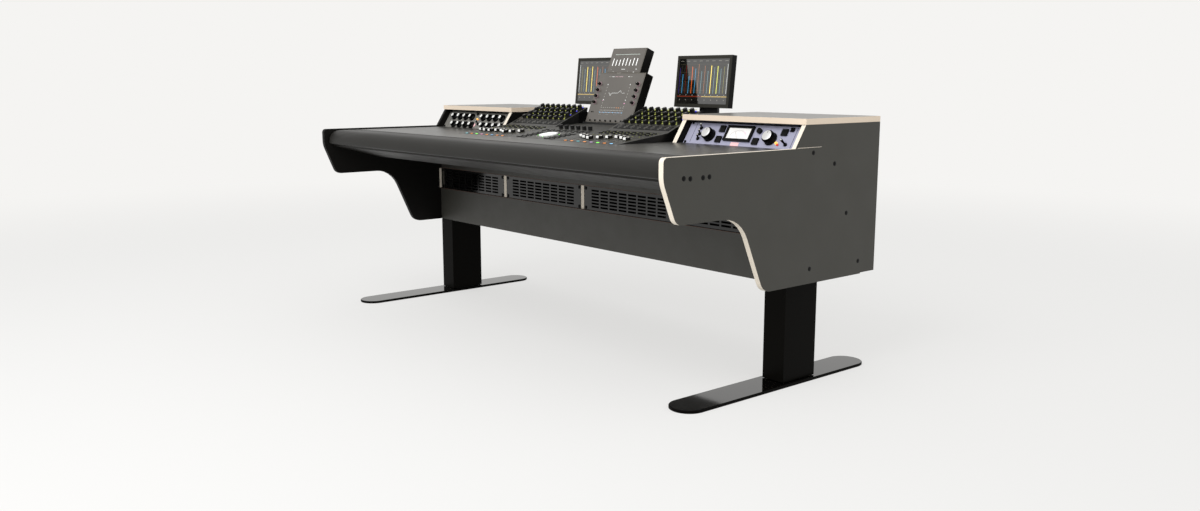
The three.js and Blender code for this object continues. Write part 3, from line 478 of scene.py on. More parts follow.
# Screen bars, as an 8-bit tone and a strength
BAR_TONES = {
    "indigo": ((38, 22, 96), 0.5),
    "dark_red": ((96, 26, 14), 0.5),
    "sky": ((60, 130, 170), 0.7),
    "grey_sky": ((96, 128, 136), 0.5),
    "orange": ((186, 84, 36), 0.7),
    "dull_orange": ((140, 92, 62), 0.5),
    "yellow": ((232, 208, 92), 0.9),
    "lime": ((196, 200, 84), 0.8),
    "dull_yellow": ((118, 116, 62), 0.5),
    "pale": ((176, 180, 178), 0.6),
    "rust": ((112, 40, 20), 0.35),
    "amber": ((172, 146, 74), 0.45),
    "icon": ((116, 114, 106), 0.4),
    "grid": ((66, 64, 48), 0.4),
}

# Lamps and lit marks, as an 8-bit tone and a strength
LAMP_COLORS = {
    "teal": ((110, 188, 196), 0.5),
    "orange": ((230, 140, 62), 0.6),
    "green": ((120, 244, 70), 1.0),
    "pink": ((226, 150, 190), 0.5),
    "dim_pink": ((122, 100, 104), 0.05),
    "blue": ((110, 160, 200), 0.5),
    "violet": ((196, 164, 208), 0.5),
    "sky": ((130, 190, 230), 0.7),
    "red": ((205, 62, 40), 0.5),
    "lit_white": ((244, 246, 244), 0.6),
    "key_light": ((164, 176, 198), 0.4),
    "led": ((158, 164, 78), 0.22),
    "violet_led": ((60, 52, 190), 0.5),
    "amber": ((250, 196, 96), 0.9),
    "dim": ((120, 118, 112), 0.15),
    "meter": ((232, 230, 227), 0.08),
    "label": ((238, 190, 192), 0.15),
    "tick": ((178, 174, 120), 0.12),
    "pale_line": ((186, 198, 190), 0.25),
    "pink_line": ((214, 176, 184), 0.2),
    # A glowing silver tone on the toggle tips: painted highlight.
    "painted_glint": ((206, 205, 202), 0.1),
}


def make_materials():
    materials = {
        # The left side panel takes near black laminate and black edges: painted shade, darker than the
        # right panel's same laminate and ply.
        "side_left": edge_banded("left_side_laminate", srgb(14, 13, 11), LEFT_EDGE_SHADE, "X", 0.5, 0.12),
        "side_right": edge_banded("right_side_laminate", LAMINATE, PALE_PLY, "X", 0.55),
        "cheek": edge_banded("cheek_laminate", srgb(12, 12, 11), PALE_PLY, "X", 0.5, 0.12),
        "top": edge_banded("top_board_laminate", TOP_GREY, TOP_EDGE, "Z", 0.36, 0.5),
        "worktop": grained("worktop_laminate", srgb(48, 47, 43), 0.33, 900),
        "board": grained("dark_laminate", DARK_LAMINATE, 0.5, 900),
        # The soffit's laminate is painted darker than the other boards: painted shade under the
        # armrest.
        "soffit": grained("soffit_shaded_laminate", srgb(30, 29, 26), 0.5, 900, spec=0.2),
        "well": grained("well_laminate", srgb(40, 39, 37), 0.6, 900),
        "pad": leather("armrest_leather", srgb(27, 26, 23)),
        "sleeve": grained("black_column_enamel", srgb(9, 8, 6), 0.3, 1400, spec=0.03),
        "foot": foot_material(),
        "steel": grained("black_powder_coat", srgb(26, 26, 25), 0.45, 1600),
        "vent": mirror_black("vent_lacquer", srgb(14, 14, 13), 0.12),
        "lilac": rack_material("lilac_enamel", srgb(160, 160, 180)),
        "grey": rack_material("grey_enamel", srgb(124, 122, 117)),
        "moulding": console_material(),
        "knob": grained("knob_black", KNOB_BLACK, 0.32, 1500, spec=0.12),
        "key": grained("key_black", srgb(12, 12, 11), 0.4, 1500, spec=0.2),
        "deck": grained("bank_deck", srgb(10, 10, 8), 0.6, 1400, spec=0.05),
        "cap": cap_material(),
        "cap_white": grained("index_cap_white", srgb(236, 236, 232), 0.4, 1500),
        "jog": grained("jog_white", srgb(234, 236, 234), 0.3, 1500),
        "casing": casing_material("display_casing", srgb(96, 92, 86)),
        "monitor_casing": casing_material("monitor_casing", srgb(46, 45, 40)),
        "screen": screen_glass("screen_glass", srgb(14, 13, 11)),
        "panel": mirror_black("panel_glass", srgb(94, 90, 85), 0.24),
        "glass": grained("window_glass", srgb(12, 12, 12), 0.45, 1500, spec=0.12),
        # Near black for grooves, gaps, slots and screw sockets drawn as films and discs, which is
        # painted shade; also for black plates and washers.
        "groove": grained("black_and_groove_shade", srgb(4, 4, 4), 0.6, 1500, spec=0.1),
        "print": grained("pale_print", srgb(176, 175, 168), 0.5, 1500),
        "sealer": grained("edge_sealer", srgb(84, 56, 44), 0.6, 1200),
        "batten": grained("pale_batten", PALE_PLY, 0.6, 600),
        "turned_metal": brushed("turned_metal", srgb(222, 222, 222), 0.36),
    }
    for name, (color, strength) in LAMP_COLORS.items():
        materials[name] = lit(f"{name}_mark", srgb(*color), strength)
    for name, (color, strength) in BAR_TONES.items():
        materials[f"bar_{name}"] = screen_glass(f"{name}_bar", srgb(*color), strength)
    return materials


# The words that the names of the CAD nodes with one finish start with
NODE_WORDS = {
    "side_left": ("side_panel_left",),
    "side_right": ("side_panel_right",),
    "top": ("top_board",),
    "cheek": ("rack_cheek", "bay_upright", "armrest_board"),
    "worktop": ("worktop",),
    "pad": ("armrest_pad",),
    "soffit": ("front_soffit",),
    "well": ("console_well_floor",),
    "board": ("bottom_board", "bay_floor", "bay_roof", "back_panel", "modesty_panel"),
    "vent": ("vent_panel",),
    "sleeve": ("leg_sleeve",),
    "steel": ("leg_post", "display_bracket", "monitor_stand"),
    "foot": ("foot_plate",),
    "lilac": ("compressor_unit",),
    "knob": ("compressor_knob",),
    "grey": ("equaliser_unit",),
    "moulding": ("fader_module", "centre_module"),
    "jog": ("jog_wheel",),
    "casing": ("centre_display",),
    "monitor_casing": ("monitor",),
    "cap": ("fader",),
}


def dress_nodes(nodes, materials):
    """Gives each carried-over CAD node the finish of the longest word its name starts with."""
    looks = {word: look for look, words in NODE_WORDS.items() for word in words}
    for name, node in nodes.items():
        word = max((word for word in looks if name.startswith(word)), key=len)
        node.data.materials.clear()
        node.data.materials.append(materials[looks[word]])


# Pieces

# The height of a printed mark and the width of a broken edge
FILM = 0.0001
EDGE = 0.0004
SHARP_ANGLE = math.radians(38)
SCREW_HEAD = ((1, 0), (1, 0.25), (0.82, 0.5), (0.5, 0.55))
SCREW_SOCKET = ((0.42, 0.4), (0.42, 0.58))


def plane_at(x, y, z, tilt):
    """A local frame with x across, y up a sloped face and z out of it."""
    return Matrix.Translation((x, y, z)) @ Matrix.Rotation(tilt, 4, "X")


def desk_slope_frame(x):
    return plane_at(x, CONSOLE_FRONT_Y, CONSOLE_FRONT_Z, DESK_SLOPE)


def bank_slope_frame(x):
    return plane_at(x, CONSOLE_FRONT_Y + SLOPE_RUN, CONSOLE_FRONT_Z + SLOPE_RISE, BANK_SLOPE)


def rack_frame(side):
    return plane_at(side * RACK_X, RACK_FOOT_Y, RACK_FOOT_Z, math.pi / 2 - SLANT_ANGLE)


def display_frame():
    return plane_at(0, DISPLAY_FRONT_Y, DISPLAY_FRONT_Z, math.pi / 2 - DISPLAY_TILT)


def monitor_frame(side):
    return plane_at(side * MONITOR_X, MONITOR_FRONT_Y, MONITOR_FRONT_Z, math.pi / 2 - MONITOR_TILT)


def side_face_frame(x, side):
    """A local frame on an upright face across X, with y up and z away from the face."""
    axes = Matrix(((0, 0, side, 0), (side, 0, 0, 0), (0, 1, 0, 0), (0, 0, 0, 1)))
    return Matrix.Translation((x, 0, 0)) @ axes


def centred(count, pitch):
    """Places of a row round zero."""
    return [(i - (count - 1) / 2) * pitch for i in range(count)]


def circle_angles(count):
    return [2 * math.pi * i / count for i in range(count)]


def arc_angles(start, end, steps):
    return [math.radians(start + (end - start) * i / steps) for i in range(steps + 1)]


def arc_point(x, y, reach_x, reach_y, angle):
    return (x + reach_x * math.cos(angle), y + reach_y * math.sin(angle))


def put(name, data):
    """A new object in the scene."""
    item = bpy.data.objects.new(name, data)
    bpy.context.scene.collection.objects.link(item)
    return item


def join_loops(mesh, loops):
    """The faces between loops of the same count of points, and one over each end."""
    count = len(loops[0])
    around = [
        mesh.faces.new((low[i], low[(i + 1) % count], high[(i + 1) % count], high[i]))
        for low, high in zip(loops, loops[1:])
        for i in range(count)
    ]
    return around, [mesh.faces.new(reversed(loops[0])), mesh.faces.new(loops[-1])]


def mesh_data(name, mesh):
    """Turns a mesh under work into finished data with its faces outward."""
    data = bpy.data.meshes.new(name)
    bmesh.ops.recalc_face_normals(mesh, faces=mesh.faces)
    mesh.to_mesh(data)
    mesh.free()
    return data


class Piece:
    """Small closed forms in one local frame, joined into one object.

    A plate is given by its width, length, level, height and broken edge, and a turned form by its
    rings of radius and level and its number of sides.
    """

    # Filled by main, with each finish by its name
    materials = {}

    def __init__(self, name, frame):
        self.name = name
        self.frame = frame
        self.mesh = bmesh.new()
        self.looks = []

    def loft(self, look, rings, smooth=False):
        """Joins rings of the same count of points and closes both ends."""
        if look not in self.looks:
            self.looks.append(look)
        loops = [[self.mesh.verts.new(self.frame @ Vector(point)) for point in ring] for ring in rings]
        around, caps = join_loops(self.mesh, loops)
        for face in around + caps:
            face.material_index = self.looks.index(look)
        for face in around:
            face.smooth = smooth

    def pad(self, look, x, y, width, length, level, height, edge=EDGE):
        """A key or plate with its upper edges broken."""
        rings = []
        for inset, z in ((0, level), (0, level + height - edge), (edge, level + height)):
            half_x = width / 2 - inset
            half_y = length / 2 - inset
            corners = ((-half_x, -half_y), (half_x, -half_y), (half_x, half_y), (-half_x, half_y))
            rings.append([(x + across, y + along, z) for across, along in corners])
        self.loft(look, rings)

    def mark(self, look, x, y, width, length, level=0, height=FILM):
        """A flat printed mark."""
        self.pad(look, x, y, width, length, level, height, 0)

    def turned(self, look, x, y, rings, sides, lean=(0, 0), stretch=1.0):
        """A turned form on an axis out of the face."""
        self.loft(look, [
            [
                arc_point(x + lean[0] * z, y + lean[1] * z, stretch * radius, radius, angle) + (z,)
                for angle in circle_angles(sides)
            ]
            for radius, z in rings
        ], smooth=True)

    def ribbon(self, look, points, width, level, height=FILM):
        """A thin raised line through points on the face."""
        for (x0, y0), (x1, y1) in zip(points, points[1:]):
            run = Vector((x1 - x0, y1 - y0, 0))
            aside = Vector((-run.y, run.x, 0)).normalized() * width / 2
            start = Vector((x0, y0, 0))
            corners = [start - aside, start + run - aside, start + run + aside, start + aside]
            self.loft(look, [[(c.x, c.y, z) for c in corners] for z in (level, level + height)])

    def screw(self, x, y, radius):
        """A round-headed screw with a black disc for its socket, which is painted shade."""
        for look, shares, sides in (("knob", SCREW_HEAD, 16), ("groove", SCREW_SOCKET, 6)):
            self.turned(look, x, y, [(radius * wide, radius * high) for wide, high in shares], sides)

    def finish(self, body):
        data = mesh_data(self.name, self.mesh)
        data.set_sharp_from_angle(angle=SHARP_ANGLE)
        for look in self.looks:
            data.materials.append(self.materials[look])
        piece = put(self.name, data)
        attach(piece, body)


# Lower slope of a fader module
SELECT_COLORS = {
    -1: ("teal", "orange", "green", "pink", "orange", "blue", "orange", "orange"),
    1: ("orange", "orange", "teal", "orange", "violet", "green", "orange", "sky"),
}
SELECT_Y = SELECT_START + 0.004
SELECT_KEY = (((0.0036, SELECT_HEIGHT), (0.0036, SELECT_HEIGHT + 0.0008)), 20)
SELECT_STRETCH = 2.1
TICKS = 11
TICK_ASIDE = 0.0095
TICK_Y = SLOT_START + 0.011
TICK_PITCH = 0.01
TICK_WIDTHS = (0.006, 0.0035, 0.0035, 0.0035, 0.0035)
TICK_LENGTH = 0.0011
KEY_UP = 0.0042
KEY_TOP = (0.0128, 0.0068, KEY_HEIGHT, 0.0008)
KEY_LAMP_UP = 0.0125
KEY_LAMP = (0.013, 0.0016, 0, 0.0004, FILM)
SLOT_LAMP_Y = SLOT_START + 0.115
SLOT_LAMP = (0.004, 0.004, 0, 0.0005, FILM)
STRIP_GROOVE = (0.0008, SLOPE_RUN * 0.94)


def add_strip_controls(side):
    """Select keys, scales, key tops and lamps of one fader module's lower slope."""
    piece = Piece(f"strip_marks_{SIDES[side]}", desk_slope_frame(side * MODULE_PITCH))
    for x, color in zip(centred(STRIPS, STRIP_PITCH), SELECT_COLORS[side]):
        piece.turned(color, x, SELECT_Y, *SELECT_KEY, stretch=SELECT_STRETCH)
        for tick in range(TICKS):
            width = TICK_WIDTHS[tick % len(TICK_WIDTHS)]
            piece.mark("tick", x + TICK_ASIDE, TICK_Y + tick * TICK_PITCH, width, TICK_LENGTH)
        for along in KEY_ROWS:
            piece.pad("key", x, along + KEY_UP, *KEY_TOP)
            piece.pad("led", x, along + KEY_LAMP_UP, *KEY_LAMP)
        piece.pad("led", x - TICK_ASIDE, SLOT_LAMP_Y, *SLOT_LAMP)
    # Black films between the strips: painted shade of the grooves.
    for x in centred(STRIPS + 1, STRIP_PITCH):
        piece.mark("groove", x, SLOPE_RUN / 2, *STRIP_GROOVE)
    piece.finish("body")


# Knob bank of a fader module
WINDOW_Y = 0.031
WINDOW = (0.286, 0.03, 0, 0.0012)
DECK_Y = BANK_ROW_START + (BANK_ROWS - 1) / 2 * BANK_ROW_PITCH
DECK = (0.3, 0.1, 0, 0.0004, FILM)
WINDOW_SHARES = (0.35, 0.75, 0.5)
WINDOW_LEAD = 0.002
WINDOW_ROW_Y = 0.022
WINDOW_ROW_PITCH = 0.009
WINDOW_MARK_WIDTH = 0.026
WINDOW_MARK = (0.0022, 0.0012)
SIDE_LAMP_PLACE = (0.0145, 0.002)
SIDE_LAMP = (((0.003, 0), (0.003, 0.0024), (0.002, 0.0036)), 10)
UPPER_LAMP_PLACE = (0.002, 0.0155)
UPPER_LAMP = (((0.0022, 0), (0.0022, 0.0016), (0.0012, 0.0024)), 8)
KNOB_FACE = (((0.0082, 0.0119), (0.0078, 0.0126), (0.006, 0.0128)), 16)
POINTER_UP = 0.0035
POINTER = (0.0011, 0.0045, 0.0126, 0.0004)


def add_bank_controls(side):
    """Windows, lamps and pointers of one fader module's knob bank."""
    piece = Piece(f"bank_marks_{SIDES[side]}", bank_slope_frame(side * MODULE_PITCH))
    piece.pad("glass", 0, WINDOW_Y, *WINDOW)
    piece.pad("deck", 0, DECK_Y, *DECK)
    for strip, x in enumerate(centred(STRIPS, STRIP_PITCH)):
        for row, share in enumerate(WINDOW_SHARES):
            y = WINDOW_ROW_Y + row * WINDOW_ROW_PITCH
            piece.mark("dim", x - WINDOW_LEAD * row, y, WINDOW_MARK_WIDTH * share, *WINDOW_MARK)
        for row in range(BANK_ROWS):
            along = BANK_ROW_START + row * BANK_ROW_PITCH
            lamp = "violet_led" if strip == STRIPS - 1 and row else "led"
            piece.turned(lamp, x + SIDE_LAMP_PLACE[0], along + SIDE_LAMP_PLACE[1], *SIDE_LAMP)
            piece.turned("led", x + UPPER_LAMP_PLACE[0], along + UPPER_LAMP_PLACE[1], *UPPER_LAMP)
            piece.turned("knob", x, along, *KNOB_FACE)
            piece.mark("print", x, along + POINTER_UP, *POINTER)
    piece.finish("body")


# Centre module
JOG_LAMPS = 16
JOG_LAMP_RING = JOG_RADIUS + 0.009
JOG_LAMP = (((0.0019, 0), (0.0019, 0.0007), (0.001, 0.0012)), 8)
JOG_PAD = (((0.0262, -0.0018), (0.0262, -0.0008), (0.025, -0.0003)), 40)
CENTRE_KEY_COLUMNS = 2
CENTRE_KEY_ROWS = 5
CENTRE_KEY_START = (0.068, 0.026)
CENTRE_KEY_PITCH = (0.03, 0.024)
CENTRE_KEY = (0.02, 0.012, 0, 0.0024)
CENTRE_KEY_MARK = (0.009, 0.0012, 0.0024)
CENTRE_LAMP_DROP = 0.014
CENTRE_LAMP = (0.0128, 0.0014, 0, 0.0004, FILM)


def add_centre_controls():
    """Lamps round the jog wheel and the keys and lamps of the centre module."""
    piece = Piece("centre_marks", desk_slope_frame(0))
    for index, angle in enumerate(circle_angles(JOG_LAMPS)):
        lamp = "green" if index % 4 == 1 else "print"
        piece.turned(lamp, *arc_point(0, JOG_ALONG, JOG_LAMP_RING, JOG_LAMP_RING, angle), *JOG_LAMP)
    for side in SIDES:
        for row in range(CENTRE_KEY_ROWS):
            for column in range(CENTRE_KEY_COLUMNS):
                x = side * (CENTRE_KEY_START[0] + column * CENTRE_KEY_PITCH[0])
                along = CENTRE_KEY_START[1] + row * CENTRE_KEY_PITCH[1]
                piece.pad("key", x, along, *CENTRE_KEY)
                piece.mark("print", x, along, *CENTRE_KEY_MARK)
    for x in centred(STRIPS, STRIP_PITCH):
        for along in KEY_ROWS[:2]:
            piece.pad("dim", x, along - CENTRE_LAMP_DROP + KEY_UP, *CENTRE_LAMP)
    piece.finish("body")


def add_jog_face():
    """The white pad in the hollow of the jog wheel, whose glow is a painted highlight."""
    piece = Piece("jog_face", desk_slope_frame(0) @ Matrix.Translation((0, JOG_ALONG, JOG_RISE)))
    # The pad's glow is a painted highlight.
    piece.turned("lit_white", 0, 0, *JOG_PAD)
    piece.finish("jog_wheel")


CAP_LINE = (0.0128, 0.0012, CAP_DIP_Z, 0.0003)


def add_cap_line(name):
    """The dark index line across the dip of a fader cap."""
    low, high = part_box(name)
    middle = [(a + b) / 2 for a, b in zip(low, high)]
    piece = Piece(f"{name}_line", plane_at(*middle, DESK_SLOPE))
    piece.mark("knob", 0, 0, *CAP_LINE)
    piece.finish(name)


# Monitor pictures, with heights as shares of the screen
BAR_TOP_SHARES = {
    -1: (0.9, 0.84, 0.8, 0.85, 0.82, 0.86, 0.78, 0.85, 0.8, 0.86, 0.8, 0.83, 0.7, 0.8, 0.66, 0.8),
    1: (
        0.8, 0.66, 0.86, 0.62, 0.825, 0.786, 0.88, 0.73,
        0.845, 0.73, 0.845, 0.815, 0.835, 0.777, 0.825, 0.88,
    ),
}
BAR_COLORS = {
    -1: (
        "pale", "dull_yellow", "grey_sky", "yellow", "grey_sky", "yellow", "grey_sky", "orange",
        "grey_sky", "dull_orange", "sky", "orange", "sky", "dark_red", "sky", "indigo",
    ),
    1: (
        "indigo", "sky", "dark_red", "sky", "orange", "sky", "dull_orange", "grey_sky",
        "dull_orange", "grey_sky", "yellow", "grey_sky", "lime", "grey_sky", "dull_yellow", "pale",
    ),
}
STRIP_COLORS = {-1: ("amber", "amber"), 1: ("rust", "amber")}
BRIGHT_BARS = ("yellow", "lime", "orange")
BRIGHT_BAR = 0.003
DULL_BAR = 0.0022
SCREEN_WIDTH = MONITOR_WIDTH - 2 * MONITOR_BEZEL
SCREEN_HEIGHT = MONITOR_HEIGHT - 2 * MONITOR_BEZEL
GLASS_HEIGHT = 0.0007
GLASS_PLAY = 0.0006
GLASS_EDGE = 0.0002
MONITOR_GLASS = (
    SCREEN_WIDTH - GLASS_PLAY, SCREEN_HEIGHT - GLASS_PLAY, -SCREEN_RECESS, GLASS_HEIGHT, GLASS_EDGE,
)
BARS = 16
BAR_PITCH = SCREEN_WIDTH * 0.955 / (BARS - 1)
BAR_FOOT_SHARE = 0.233
BAR_FILM = 0.00012
GRID_SHARES = (0.3, 0.5, 0.7, 0.88)
GRID_LINE = (SCREEN_WIDTH * 0.96, 0.0007)
GRID_FILM = 0.00008
COLUMN_LINE_SHARE = 0.62
COLUMN_LINE_WIDTH = 0.0008
STRIP_SHARE = 0.166
STRIP_MARK = (BAR_PITCH * 0.94, 0.0034)
SCREEN_MARKS = (
    (0.195, "bar_pale", 0.003, 0.0016, 0.00014),
    (0.09, "bar_icon", 0.0036, 0.0034, FILM),
    (0.95, "bar_icon", BAR_PITCH, 0.0016, FILM),
)


def add_monitor_picture(side):
    """Generic level bars on a monitor, drawn as thin raised strips on its glass."""
    piece = Piece(f"monitor_{SIDES[side]}_picture", monitor_frame(side))
    foot = MONITOR_BEZEL
    top = -SCREEN_RECESS + GLASS_HEIGHT
    piece.pad("screen", 0, foot + SCREEN_HEIGHT / 2, *MONITOR_GLASS)
    base = foot + SCREEN_HEIGHT * BAR_FOOT_SHARE
    for share in GRID_SHARES:
        piece.mark("bar_grid", 0, foot + SCREEN_HEIGHT * share, *GRID_LINE, top, GRID_FILM)
    for column, x in enumerate(centred(BARS, BAR_PITCH)):
        tone = BAR_COLORS[side][column]
        tall = foot + SCREEN_HEIGHT * BAR_TOP_SHARES[side][column] - base
        wide = BRIGHT_BAR if tone in BRIGHT_BARS else DULL_BAR
        piece.mark(f"bar_{tone}", x, base + tall / 2, wide, tall, top, BAR_FILM)
        line = SCREEN_HEIGHT * COLUMN_LINE_SHARE
        piece.mark("bar_grid", x + BAR_PITCH / 2, base + line / 2, COLUMN_LINE_WIDTH, line, top)
        strip = STRIP_COLORS[side][column // (BARS // 2)]
        piece.mark(f"bar_{strip}", x, foot + SCREEN_HEIGHT * STRIP_SHARE, *STRIP_MARK, top, BAR_FILM)
        if column % 2:
            for share, look, width, length, film in SCREEN_MARKS:
                y = foot + SCREEN_HEIGHT * share
                piece.mark(look, x - BAR_PITCH / 2, y, width, length, top, film)
    piece.finish(f"monitor_{SIDES[side]}")


# Centre display
PANEL_MARGIN = 0.008
METER_MARGIN = 0.006
PANEL_TOP = 0.0008
PANEL_EDGE = 0.0003
METER_SHARES = (1.0, 0.82, 0.82, 1.0, 1.0, 0.8, 1.0, 0.98)
METER_FOOT = DISPLAY_HEIGHT + 0.029
METER_ROOM = 0.03
METER_PITCH = 0.0194
METER_LEAD = -0.0055
METER_BAR = 0.003
METER_LINE_Y = DISPLAY_HEIGHT + 0.0745
METER_LINE = (0.141, 0.0014)
METER_MARK_DROP = 0.006
METER_MARK = (0.005, 0.0009)
LABEL_LENGTH = 0.0012
# Place, width and tone of each line over and under the meters
METER_LABELS = (
    (-0.003, 0.0145, 0.021, "lit_white"), (0.0705, 0.0145, 0.009, "lit_white"),
    (-0.073, 0.014, 0.005, "print"), (-0.056, 0.005, 0.008, "print"),
    (-0.02, -0.001, 0.02, "print"), (0.024, 0.006, 0.005, "print"),
    (0.06, 0.003, 0.007, "lit_white"), (-0.064, -0.016, 0.013, "print"),
    (-0.046, -0.016, 0.013, "lit_white"), (-0.026, -0.016, 0.018, "pink_line"),
    (-0.002, -0.016, 0.022, "pink_line"), (0.043, -0.016, 0.01, "lit_white"),
    (0.058, -0.016, 0.012, "print"),
)
GRAPH_HALF = 0.064
GRAPH_STEP = 0.0125
GRAPH_SIDE_Y = 0.066
GRAPH_SIDE_MARKS = 8
GRAPH_SIDE_MARK = (0.0019, 0.0045)
GRAPH_LIT_STEPS = (2, 7)
GRAPH_BASE_Y = 0.06
GRAPH_BASE_MARKS = 11
GRAPH_BASE_MARK = (0.006, 0.0015)
GRAPH_ORANGE_STEPS = (7, 8)
CURVE_POINTS = 40
CURVE_WIDTH = 0.092
CURVE_Y = 0.119
CURVE_LINE = 0.0007
CURVE_MARK = (-0.033, 0.109, 0.0026, 0.0022)
# Height, middle and sharpness of the curve's peak and dip
CURVE_PEAKS = ((0.0095, 0.42, 6.5), (-0.007, -0.72, 8))
PINK_DOTS = ((0.062, 0.078, 0.0022), (-0.066, 0.088, 0.0014))
DOT_HEIGHT = 0.0002
# Tones of the touch keys in each row, repeated along it
TOUCH_ROWS = (("print",), ("sky", "key_light", "key_light"), ("dim", "dim", None, None, None))
TOUCH_COLUMNS = 16
TOUCH_PITCH = (0.0086, 0.0085)
TOUCH_TOP_Y = 0.049
TOUCH_KEY = (0.005, 0.0019, PANEL_TOP, 0.00012)
SLIDER_XS = (-0.112, -0.1035)
SLIDER_Y = 0.041
SLIDER = (0.004, 0.0042, PANEL_TOP, 0.0014, 0.0003)
SMALL_KNOBS = 8
SMALL_KNOB_PITCH = 0.03
SMALL_KNOB_Y = 0.0068
SMALL_KNOB = (((0.0034, PANEL_TOP), (0.0034, 0.004), (0.0026, 0.005)), 12)
SIDE_KNOBS = 4
SIDE_KNOB_X = DISPLAY_WIDTH / 2 - 0.022
SIDE_KNOB_Y = 0.08
SIDE_KNOB_PITCH = 0.025
SIDE_KNOB_RIM = (((0.0096, PANEL_TOP), (0.0096, PANEL_TOP + 0.0012), (0.0088, PANEL_TOP + 0.0016)), 24)
SIDE_KNOB_FACE = (((0.0052, 0.0118), (0.0052, 0.0128), (0.004, 0.0132)), 16)
SIDE_POINTER_UP = 0.0028
SIDE_POINTER = (0.0012, 0.004, 0.0131, 0.0003)


def curve_points():
    """A level curve with one dip and one peak, as on any equaliser graph."""
    points = []
    for i in range(CURVE_POINTS):
        t = i / (CURVE_POINTS - 1) * 2 - 1
        level = sum(
            height * math.exp(-((t - middle) * sharp) ** 2) for height, middle, sharp in CURVE_PEAKS
        )
        points.append((t * CURVE_WIDTH / 2, CURVE_Y + level))
    return points


def add_meters(piece):
    """Level bars and small labels on the upper part of the centre display."""
    piece.mark("pale_line", METER_LEAD / 2, METER_LINE_Y, *METER_LINE, PANEL_TOP)
    for place, share in zip(centred(len(METER_SHARES), METER_PITCH), METER_SHARES):
        x = METER_LEAD + place
        tall = METER_ROOM * share
        piece.mark("lit_white", x, METER_FOOT + tall / 2, METER_BAR, tall, PANEL_TOP, BAR_FILM)
        piece.mark("dim", x, METER_FOOT - METER_MARK_DROP, *METER_MARK, PANEL_TOP)
    for x, y, wide, tone in METER_LABELS:
        piece.mark(tone, x, DISPLAY_HEIGHT + y, wide, LABEL_LENGTH, PANEL_TOP)


def add_graph(piece):
    """The graph on the touch panel, with its frame of short marks."""
    for side in SIDES:
        for step in range(GRAPH_SIDE_MARKS):
            tone = "lit_white" if step in GRAPH_LIT_STEPS else "print"
            y = GRAPH_SIDE_Y + step * GRAPH_STEP
            piece.mark(tone, side * GRAPH_HALF, y, *GRAPH_SIDE_MARK, PANEL_TOP)
    for step, x in enumerate(centred(GRAPH_BASE_MARKS, GRAPH_STEP)):
        tone = "orange" if step in GRAPH_ORANGE_STEPS else "print"
        piece.mark(tone, x, GRAPH_BASE_Y, *GRAPH_BASE_MARK, PANEL_TOP)
    piece.ribbon("lit_white", curve_points(), CURVE_LINE, PANEL_TOP)
    piece.mark("lit_white", *CURVE_MARK, PANEL_TOP)
    for x, y, radius in PINK_DOTS:
        piece.turned("pink", x, y, ((radius, PANEL_TOP), (radius, PANEL_TOP + DOT_HEIGHT)), 12)


def add_display_picture():
    """Marks on the centre display: meters above, a touch panel with a graph below."""
    piece = Piece("centre_display_picture", display_frame())
    for y, width, length in (
        (DISPLAY_HEIGHT / 2, DISPLAY_WIDTH - PANEL_MARGIN, DISPLAY_HEIGHT - PANEL_MARGIN),
        (DISPLAY_HEIGHT + METER_HEIGHT / 2, METER_WIDTH - PANEL_MARGIN, METER_HEIGHT - METER_MARGIN),
    ):
        piece.pad("panel", 0, y, width, length, 0, PANEL_TOP, PANEL_EDGE)
    add_meters(piece)
    add_graph(piece)
    for row, pattern in enumerate(TOUCH_ROWS):
        for column, x in enumerate(centred(TOUCH_COLUMNS, TOUCH_PITCH[0])):
            tone = pattern[column % len(pattern)]
            if tone:
                piece.mark(tone, x, TOUCH_TOP_Y - row * TOUCH_PITCH[1], *TOUCH_KEY)
    # Black slots of the sliders: painted shade.
    for x in SLIDER_XS:
        piece.pad("groove", x, SLIDER_Y, *SLIDER)
    for x in centred(SMALL_KNOBS, SMALL_KNOB_PITCH):
        piece.turned("knob", x, SMALL_KNOB_Y, *SMALL_KNOB)
    for side in SIDES:
        for row in range(SIDE_KNOBS):
            place = (side * SIDE_KNOB_X, SIDE_KNOB_Y + row * SIDE_KNOB_PITCH)
            piece.turned("dim_pink", *place, *SIDE_KNOB_RIM)
            piece.turned("knob", *place, *SIDE_KNOB_FACE)
            piece.mark("print", place[0], place[1] + SIDE_POINTER_UP, *SIDE_POINTER)
    piece.finish("centre_display")


# Plates behind the knob banks
WING_INSET = 0.0005
WING_Y = 0.05 + SHIFT_Y
WING_LENGTH = 0.052
WING_TOP = 0.813
WING_FOOT = WORKTOP_Z + 0.0003
WING_THICKNESS = 0.003


def add_console_wings():
    """Thin side plates that carry the inner side walls of both knob banks on behind them."""
    rise = WING_TOP - WING_FOOT
    for side, word in SIDES.items():
        piece = Piece(f"bank_wing_{word}", side_face_frame(side * (MODULE_PITCH / 2 - WING_INSET), 1))
        place = (WING_Y + WING_LENGTH / 2, WING_FOOT + rise / 2)
        piece.mark("groove", *place, WING_LENGTH, rise, 0, -side * WING_THICKNESS)
        piece.finish("body")


# Both rack fronts
RACK_SCREW = 0.0048
RACK_SCREW_INSET = 0.0085
RACK_SCREW_UPS = (0.0085, 0.0804)
SCORE_X = 0.2125
SCORE = (0.0012, 0.072, 0, 0.0003)
GAP_LINE_DROP = 0.0035
GAP_LINE = (RACK_FRONT_WIDTH - 0.004, 0.004, 0, 0.0004)
SCALE_START = 225
SCALE_END = -45
TOGGLE_NUT = (((0.0068, 0), (0.0068, 0.0024)), 6)
TOGGLE_BUSH = (((0.005, 0.0024), (0.005, 0.0044), (0.004, 0.0052)), 16)
TOGGLE_LEVER = (((0.0026, 0.0048), (0.0042, 0.018), (0.0042, 0.0206)), 12)
TOGGLE_TIP = (((0.0024, 0.0206), (0.0024, 0.0212), (0.0012, 0.0216)), 12)


